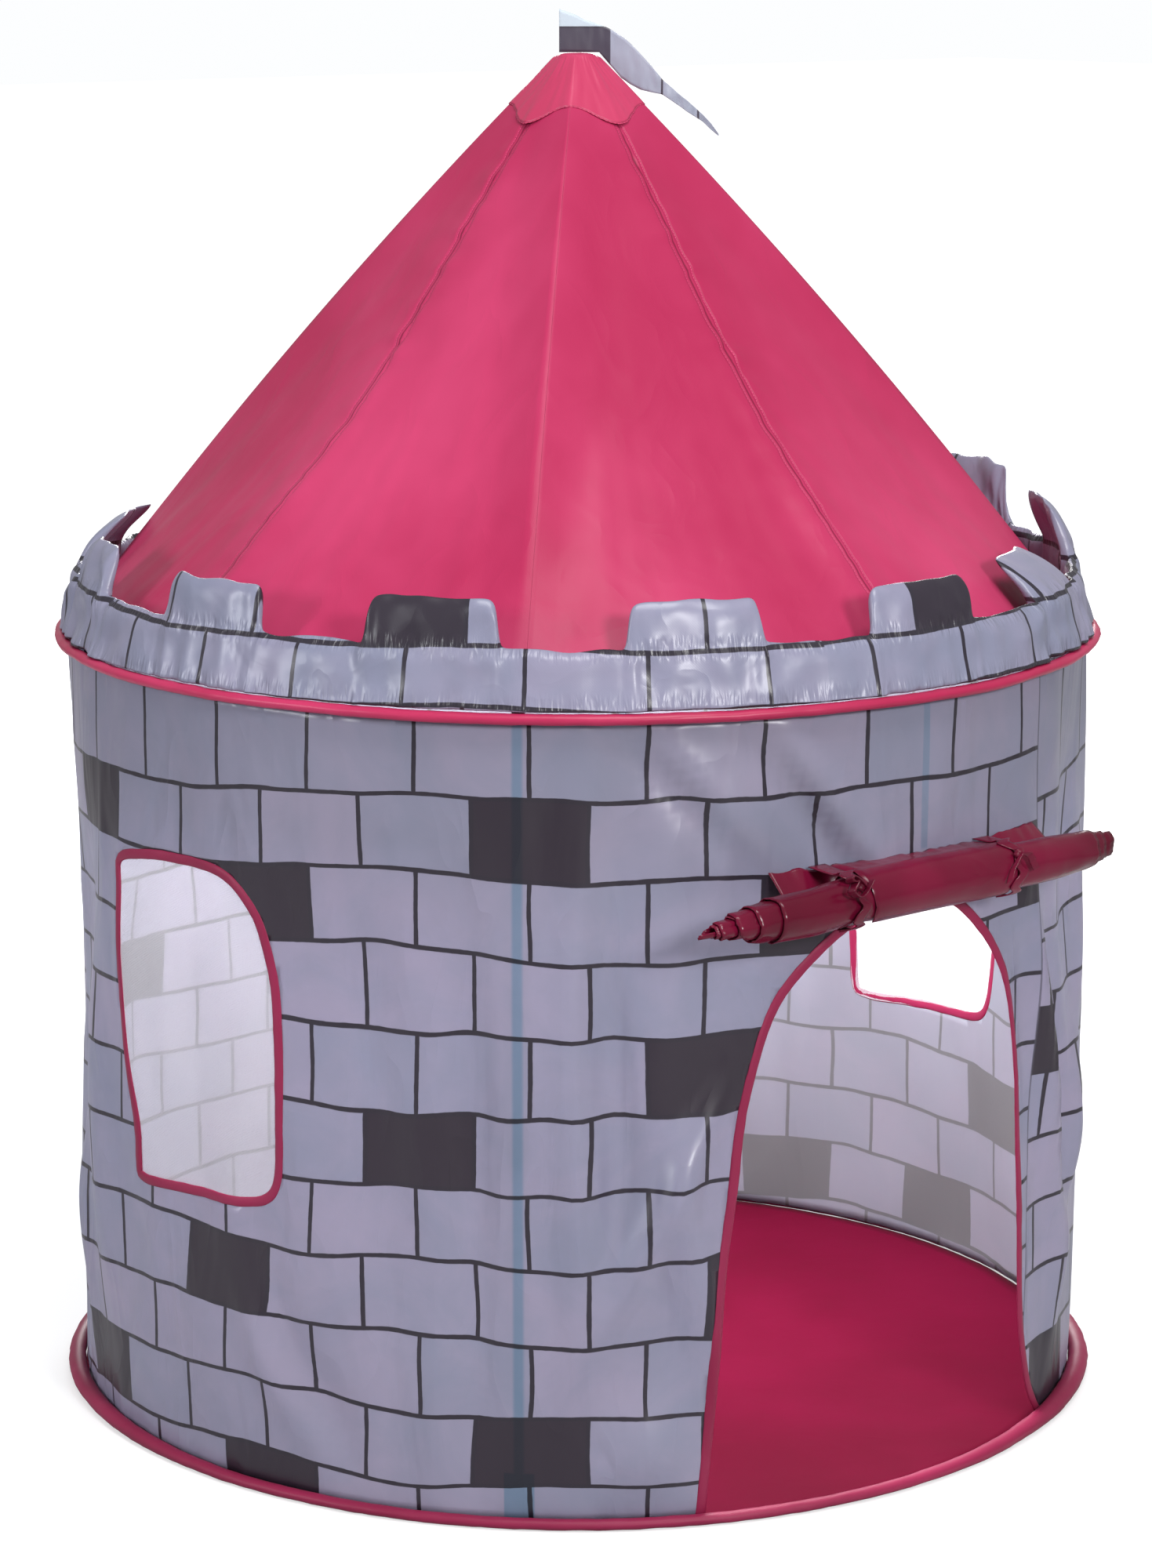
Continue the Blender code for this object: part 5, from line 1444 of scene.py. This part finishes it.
count_faces(strip)

# %% [markdown]
# ## Ties
# Two ribbons hold the roll. Each comes from the seam, goes round the roll and is knotted in
# front: the left one with a loop, the right one with two short tails. A ribbon is a narrow strip
# of quads along a path, wider where it lies flat and drawn in at the knot.

# %% Ribbons
def ribbon(name, path, widths, way):
    """Strip along points in space; way is the direction of its width."""
    columns = 5
    points = [Vector(point) for point in smooth_path([tuple(point) for point in path], 5)]
    way = way.normalized()
    rows = []
    lengths = [0.0]
    for i, point in enumerate(points):
        share = i / (len(points) - 1)
        width = from_table(widths, share)
        rows.append([point + way * width * (k / columns - 0.5) + Vector((
            0.0, -0.0006 * abs(math.sin(3.0 * k + 9.0 * share)), 0.0))
            for k in range(columns + 1)])
        if i:
            lengths.append(lengths[-1] + (point - points[i - 1]).length)
    piece = sheet_from_rows(name, rows, lambda across, up: (0.012 * across / columns,
                                                            lengths[up]), MAROON_CLOTH)
    thicken(piece, 0.0009)
    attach(piece, "rolled_door")
    return count_faces(piece)


def ribbon_knot(side, knot_place):
    """Small wound lump, made from a ball that is pressed flat and ridged."""
    bpy.ops.object.select_all(action="DESELECT")
    bpy.ops.mesh.primitive_uv_sphere_add(segments=28, ring_count=18, radius=0.0062,
                                         location=knot_place)
    knot = bpy.context.object
    knot.name = "ribbon_knot_" + side
    bpy.ops.object.transform_apply(location=True, rotation=True, scale=True)
    knot.data.uv_layers[0].name = "cloth"
    for vert in knot.data.vertices:
        local = vert.co - knot_place
        ridge = math.sin(900.0 * (local.x * 0.7 + local.z)) * 0.00045
        local = Vector((local.x * 0.95, local.y * 0.62, local.z * 0.85))
        vert.co = knot_place + local + local.normalized() * ridge
    knot.data.shade_smooth()
    knot.data.materials.append(MAROON_CLOTH)
    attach(knot, "rolled_door")
    return knot


ALONG_ROLL = Vector((1.0, 0.0, 0.0))
TIES = (("left", -0.1234), ("right", 0.0750))
TAILS = ((0.020, -0.016), (-0.015, -0.024))
for side, x in TIES:
    skin = ROLL_SIZE * roll_girth(x) + 0.0032
    seam_y = -0.5140 + set_back(x)
    front = [Vector((x, seam_y, SEAM_HEIGHT + 0.001))]
    front += [roll_place(x + 0.004 * math.sin(2.0 * k), mix(112.0, -82.0, k / 12), skin)
              for k in range(13)]
    front_tie = ribbon("front_ribbon_" + side, front,
                       ((0.0, 0.020), (0.30, 0.015), (0.44, 0.006), (0.52, 0.006), (0.66, 0.013),
                        (1.0, 0.012)), ALONG_ROLL)
    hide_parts("tie_front_" + side)
    back = [roll_place(x, mix(274.0, 202.0, k / 12), skin) for k in range(13)]
    back.append(Vector((x, seam_y, SEAM_HEIGHT - 0.010)))
    back_tie = ribbon("back_ribbon_" + side, back, ((0.0, 0.012), (1.0, 0.013)), ALONG_ROLL)
    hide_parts("tie_back_" + side)

    knot_place = roll_place(x, 38.0, skin + 0.0035)
    extras = [ribbon_knot(side, knot_place)]
    if side == "left":
        loop_path = []
        for t in [k / 8 for k in range(9)]:
            bulge = math.sin(math.pi * t)
            loop_path.append(knot_place + Vector((
                -0.012 * bulge - 0.012 * t, -0.003, 0.016 * (1.0 - t) * bulge + 0.006 * t)))
        for t in [k / 6 for k in range(1, 7)]:
            loop_path.append(knot_place + Vector((
                -0.024 + 0.030 * t, -0.006, 0.006 - 0.014 * math.sin(math.pi * t))))
        extras.append(ribbon("ribbon_loop_left", loop_path,
                             ((0.0, 0.006), (0.5, 0.012), (1.0, 0.006)),
                             Vector((0.15, -1.0, 0.35))))
    else:
        for number, (aside, down) in enumerate(TAILS):
            tail_path = [knot_place + Vector((aside * t + 0.002 * math.sin(5.0 * t),
                                              -0.003 - 0.002 * t, down * t * t))
                         for t in [k / 6 for k in range(7)]]
            extras.append(ribbon("ribbon_tail_" + str(number), tail_path,
                                 ((0.0, 0.004), (0.4, 0.007), (1.0, 0.008)),
                                 Vector((0.55, -0.45, 0.5))))

# %% [markdown]
# ## Pennant
# A little printed pennant is sewn to the peak. It is a long thin triangle of thin cloth that
# droops and waves, so it is a grid whose two edges follow a table of heights, bent by a sine wave.

# %% Pennant
FLAG_TURN = math.radians(51.0)
FLAG_HOME = Vector((-0.0136, 0.01101, 1.3363))
FLAG_AWAY = Vector((math.sin(FLAG_TURN), -math.cos(FLAG_TURN), 0.0))
FLAG_ASIDE = Vector((math.cos(FLAG_TURN), math.sin(FLAG_TURN), 0.0))
# Share of the pennant's length, and its upper and lower edge there in millimetres.
FLAG_EDGES = (
    (0.0, 42.0, 0.0), (0.10, 36.5, 0.0), (0.153, 32.0, -4.0), (0.22, 28.5, -14.0),
    (0.30, 24.0, -18.0), (0.33, 21.5, -20.0), (0.408, 13.5, -27.0), (0.442, 9.0, -31.0),
    (0.51, -2.0, -36.5), (0.58, -14.0, -39.0), (0.645, -26.5, -41.0), (0.748, -40.5, -52.0),
    (0.80, -47.0, -58.0), (0.85, -54.0, -63.0), (0.90, -61.0, -68.0), (0.952, -69.5, -76.0),
    (1.0, -80.0, -82.0),
)
UPPER_EDGE, LOWER_EDGE = ([(edge[0], 0.001 * edge[which]) for edge in FLAG_EDGES]
                          for which in (1, 2))
FLAG_PALE, FLAG_DARK = (0.55, 0.62, 0.69), (0.070, 0.058, 0.085)
FLAG_JOINT, FLAG_RULE = (0.062, 0.050, 0.070), (0.05, 0.042, 0.06)

flag_long, flag_rows, flag_columns = 0.158, 12, 72
rows, flag_uv = [], []
for j in range(flag_rows + 1):
    row, place_row = [], []
    for i in range(flag_columns + 1):
        place = i / flag_columns
        top, bottom = from_table(UPPER_EDGE, place), from_table(LOWER_EDGE, place)
        beyond = flag_long * place - PEAK_ROUND
        bottom = max(bottom, min(0.0, 0.003 - 1.142 * max(beyond - 0.0193, 0.0)))
        height = mix(bottom, top, j / flag_rows)
        wave = 0.008 * place * math.sin(2.0 * math.pi * 1.3 * place)
        curl = 0.0028 * place * ripple(26.0 * place, 0.0, 60.0 * height)
        point = FLAG_HOME + FLAG_AWAY * (flag_long * place) + FLAG_ASIDE * (wave + curl)
        row.append(point + Vector((0.0, 0.0, height)))
        place_row.append((flag_long * place, height))
    rows.append(row)
    flag_uv.append(place_row)


def flag_colour(tree, uv, creases):
    """Pale strip along the top, one dark block at the hoist, then grey with thin joints."""
    out, up = x_and_y(tree, uv)
    grey = mix_colour(tree, remap(tree, creases["Tone"], 0.3, 0.7), (0.30, 0.34, 0.43),
                      (0.38, 0.38, 0.47))
    near_hoist = remap(tree, out, 0.0500, 0.0512, 1.0, 0.0)
    pale = times(tree, remap(tree, up, 0.0235, 0.0250), near_hoist)
    colour = mix_colour(tree, pale, grey, FLAG_PALE)
    block = times(tree, remap(tree, up, 0.0235, 0.0245, 1.0, 0.0), near_hoist)
    colour = mix_colour(tree, block, colour, FLAG_DARK)
    for joint in (0.1015, 0.1375):
        near = remap(tree, off(tree, out, joint), 0.0007, 0.0014, 1.0, 0.0)
        colour = mix_colour(tree, near, colour, FLAG_JOINT)
    rule = times(tree, near_hoist, remap(tree, off(tree, up, 0.0242), 0.0006, 0.0012, 1.0, 0.0))
    return mix_colour(tree, rule, colour, FLAG_RULE), None


PENNANT_CLOTH = cloth_material("pennant_cloth", flag_colour, 0.42, 0.18)
pennant = sheet_from_rows("printed_pennant", rows, lambda across, up: flag_uv[up][across],
                          PENNANT_CLOTH)
thicken(pennant)
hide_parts("flag")
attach(pennant, "pennant")
count_faces(pennant)

# %% [markdown]
# ## Pole pockets and inner tapes
# The foot of each pole stands in a small grey cloth pocket sewn to the wall, and two narrow grey
# tapes hang inside the wall under the roof's seams. A pocket is a strip bent round the pole's
# foot, flared a little at its mouth; a tape is a plain ribbon with a slow twist.

# %% Pockets and tapes
UPRIGHT = Vector((0.0, 0.0, 1.0))
POCKET_WIDE, POCKET_TALL, POCKET_COLUMNS, POCKET_ROWS = 0.046, 0.052, 32, 18
INNER_TAPE_WIDE, INNER_TAPE_LONG = 0.0068, 0.135
INNER_TAPE_COLUMNS, INNER_TAPE_ROWS = 6, 36
for name, pole in zip(("rear_left", "front_left", "front_right", "rear_right"), POLES):
    outward = tent_point(pole, 1.0, 0.0)
    sideways = Vector((-outward.y, outward.x, 0.0))
    rows = []
    for j in range(POCKET_ROWS + 1):
        up = j / POCKET_ROWS
        flare = 1.0 + 0.10 * up
        row = []
        for i in range(POCKET_COLUMNS + 1):
            turn = math.pi * (i / POCKET_COLUMNS)
            side_reach = 0.0136 * math.cos(turn) * flare
            depth = 0.5094 - 0.0148 * math.sin(turn) ** 0.7 * flare
            depth += 0.0005 * ripple(6.0 * turn, 9.0 * up, pole)
            row.append(outward * depth + sideways * side_reach
                       + UPRIGHT * (0.0028 + POCKET_TALL * up))
        rows.append(row)
    pocket = sheet_from_rows("pole_foot_pocket_" + name, rows, lambda across, up: (
        POCKET_WIDE * across / POCKET_COLUMNS, POCKET_TALL * up / POCKET_ROWS), GREY_CLOTH)
    thicken(pocket, 0.0009)
    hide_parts("pole_pocket_" + name)
    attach(pocket, "tent")
    count_faces(pocket)

for name, azimuth in (("front", 0.0), ("left", -90.0)):
    rows = []
    for j in range(INNER_TAPE_ROWS + 1):
        height = 0.7565 - INNER_TAPE_LONG * (1.0 - j / INNER_TAPE_ROWS)
        twist = 0.0006 * math.sin(9.0 * j / INNER_TAPE_ROWS)
        row = []
        for i in range(INNER_TAPE_COLUMNS + 1):
            beside = INNER_TAPE_WIDE * (i / INNER_TAPE_COLUMNS - 0.5)
            row.append(tent_point(azimuth + math.degrees(beside / 0.509),
                                  0.5086 + twist * (i - 3) / 3, height))
        rows.append(row)
    tape = sheet_from_rows("inside_tape_" + name, rows, lambda across, up: (
        INNER_TAPE_WIDE * across / INNER_TAPE_COLUMNS,
        INNER_TAPE_LONG * up / INNER_TAPE_ROWS), GREY_CLOTH)
    thicken(tape, 0.0005)
    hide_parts("inner_tape_" + name)
    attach(tape, "tent")
    count_faces(tape)

# %% [markdown]
# ## Finishes of the hard parts
# The poles, connectors and hoops keep their CAD shapes, which are already right, and only get
# better materials: drawn glass-fibre rods with fine streaks along them, moulded black connectors
# with a fine grain and uneven wear of their gloss, and spring steel with faint heat marks.

# %% Rod, connector and steel materials
def hard_material(name, dark, light, roughness, grain_size, grain_depth, stretch, metallic=0.0):
    """Rigid part: two tones in a stretched pattern, worn roughness and a fine bump."""
    made, tree, shader = start_material(name)
    place = object_place(tree)
    streak = cloud(tree, stretched(tree, place, stretch), 40.0, 4.0, 0.6)
    wear = cloud(tree, place, 120.0, 3.0, 0.6)
    feed_all(tree, shader, {
        "Base Color": mix_colour(tree, remap(tree, streak, 0.3, 0.7), dark, light),
        "Roughness": remap(tree, wear, 0.3, 0.7, roughness - 0.08, roughness + 0.10),
        "Metallic": metallic,
        "Normal": bump(tree, cloud(tree, place, grain_size, 2.0), grain_depth, 0.5)})
    return made


ROD = hard_material("rod_plastic", (0.16, 0.20, 0.26), (0.24, 0.29, 0.36), 0.36, 900.0, 0.00006,
                    (3.0, 3.0, 0.08))
CONNECTOR = hard_material("connector_plastic", (0.022, 0.022, 0.027), (0.045, 0.045, 0.052), 0.42,
                          1600.0, 0.00008, (1.0, 1.0, 1.0))
STEEL = hard_material("spring_steel", (0.36, 0.37, 0.40), (0.52, 0.53, 0.55), 0.32, 1200.0,
                      0.00003, (1.0, 1.0, 6.0), metallic=1.0)
dressed = 0
for name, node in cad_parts.items():
    if node.hide_render:
        continue
    finish = ROD if "rod_" in name else STEEL if "hoop_" in name else CONNECTOR
    if node.data.materials:
        for place in range(len(node.data.materials)):
            node.data.materials[place] = finish
    else:
        node.data.materials.append(finish)
    dressed += 1
print("hard CAD nodes dressed:", dressed)

# %% [markdown]
# ## Finish
# Soft cloth may stand a little proud of the CAD model. The scene is updated once more at the end.

# %% Finish
bpy.context.view_layer.update()
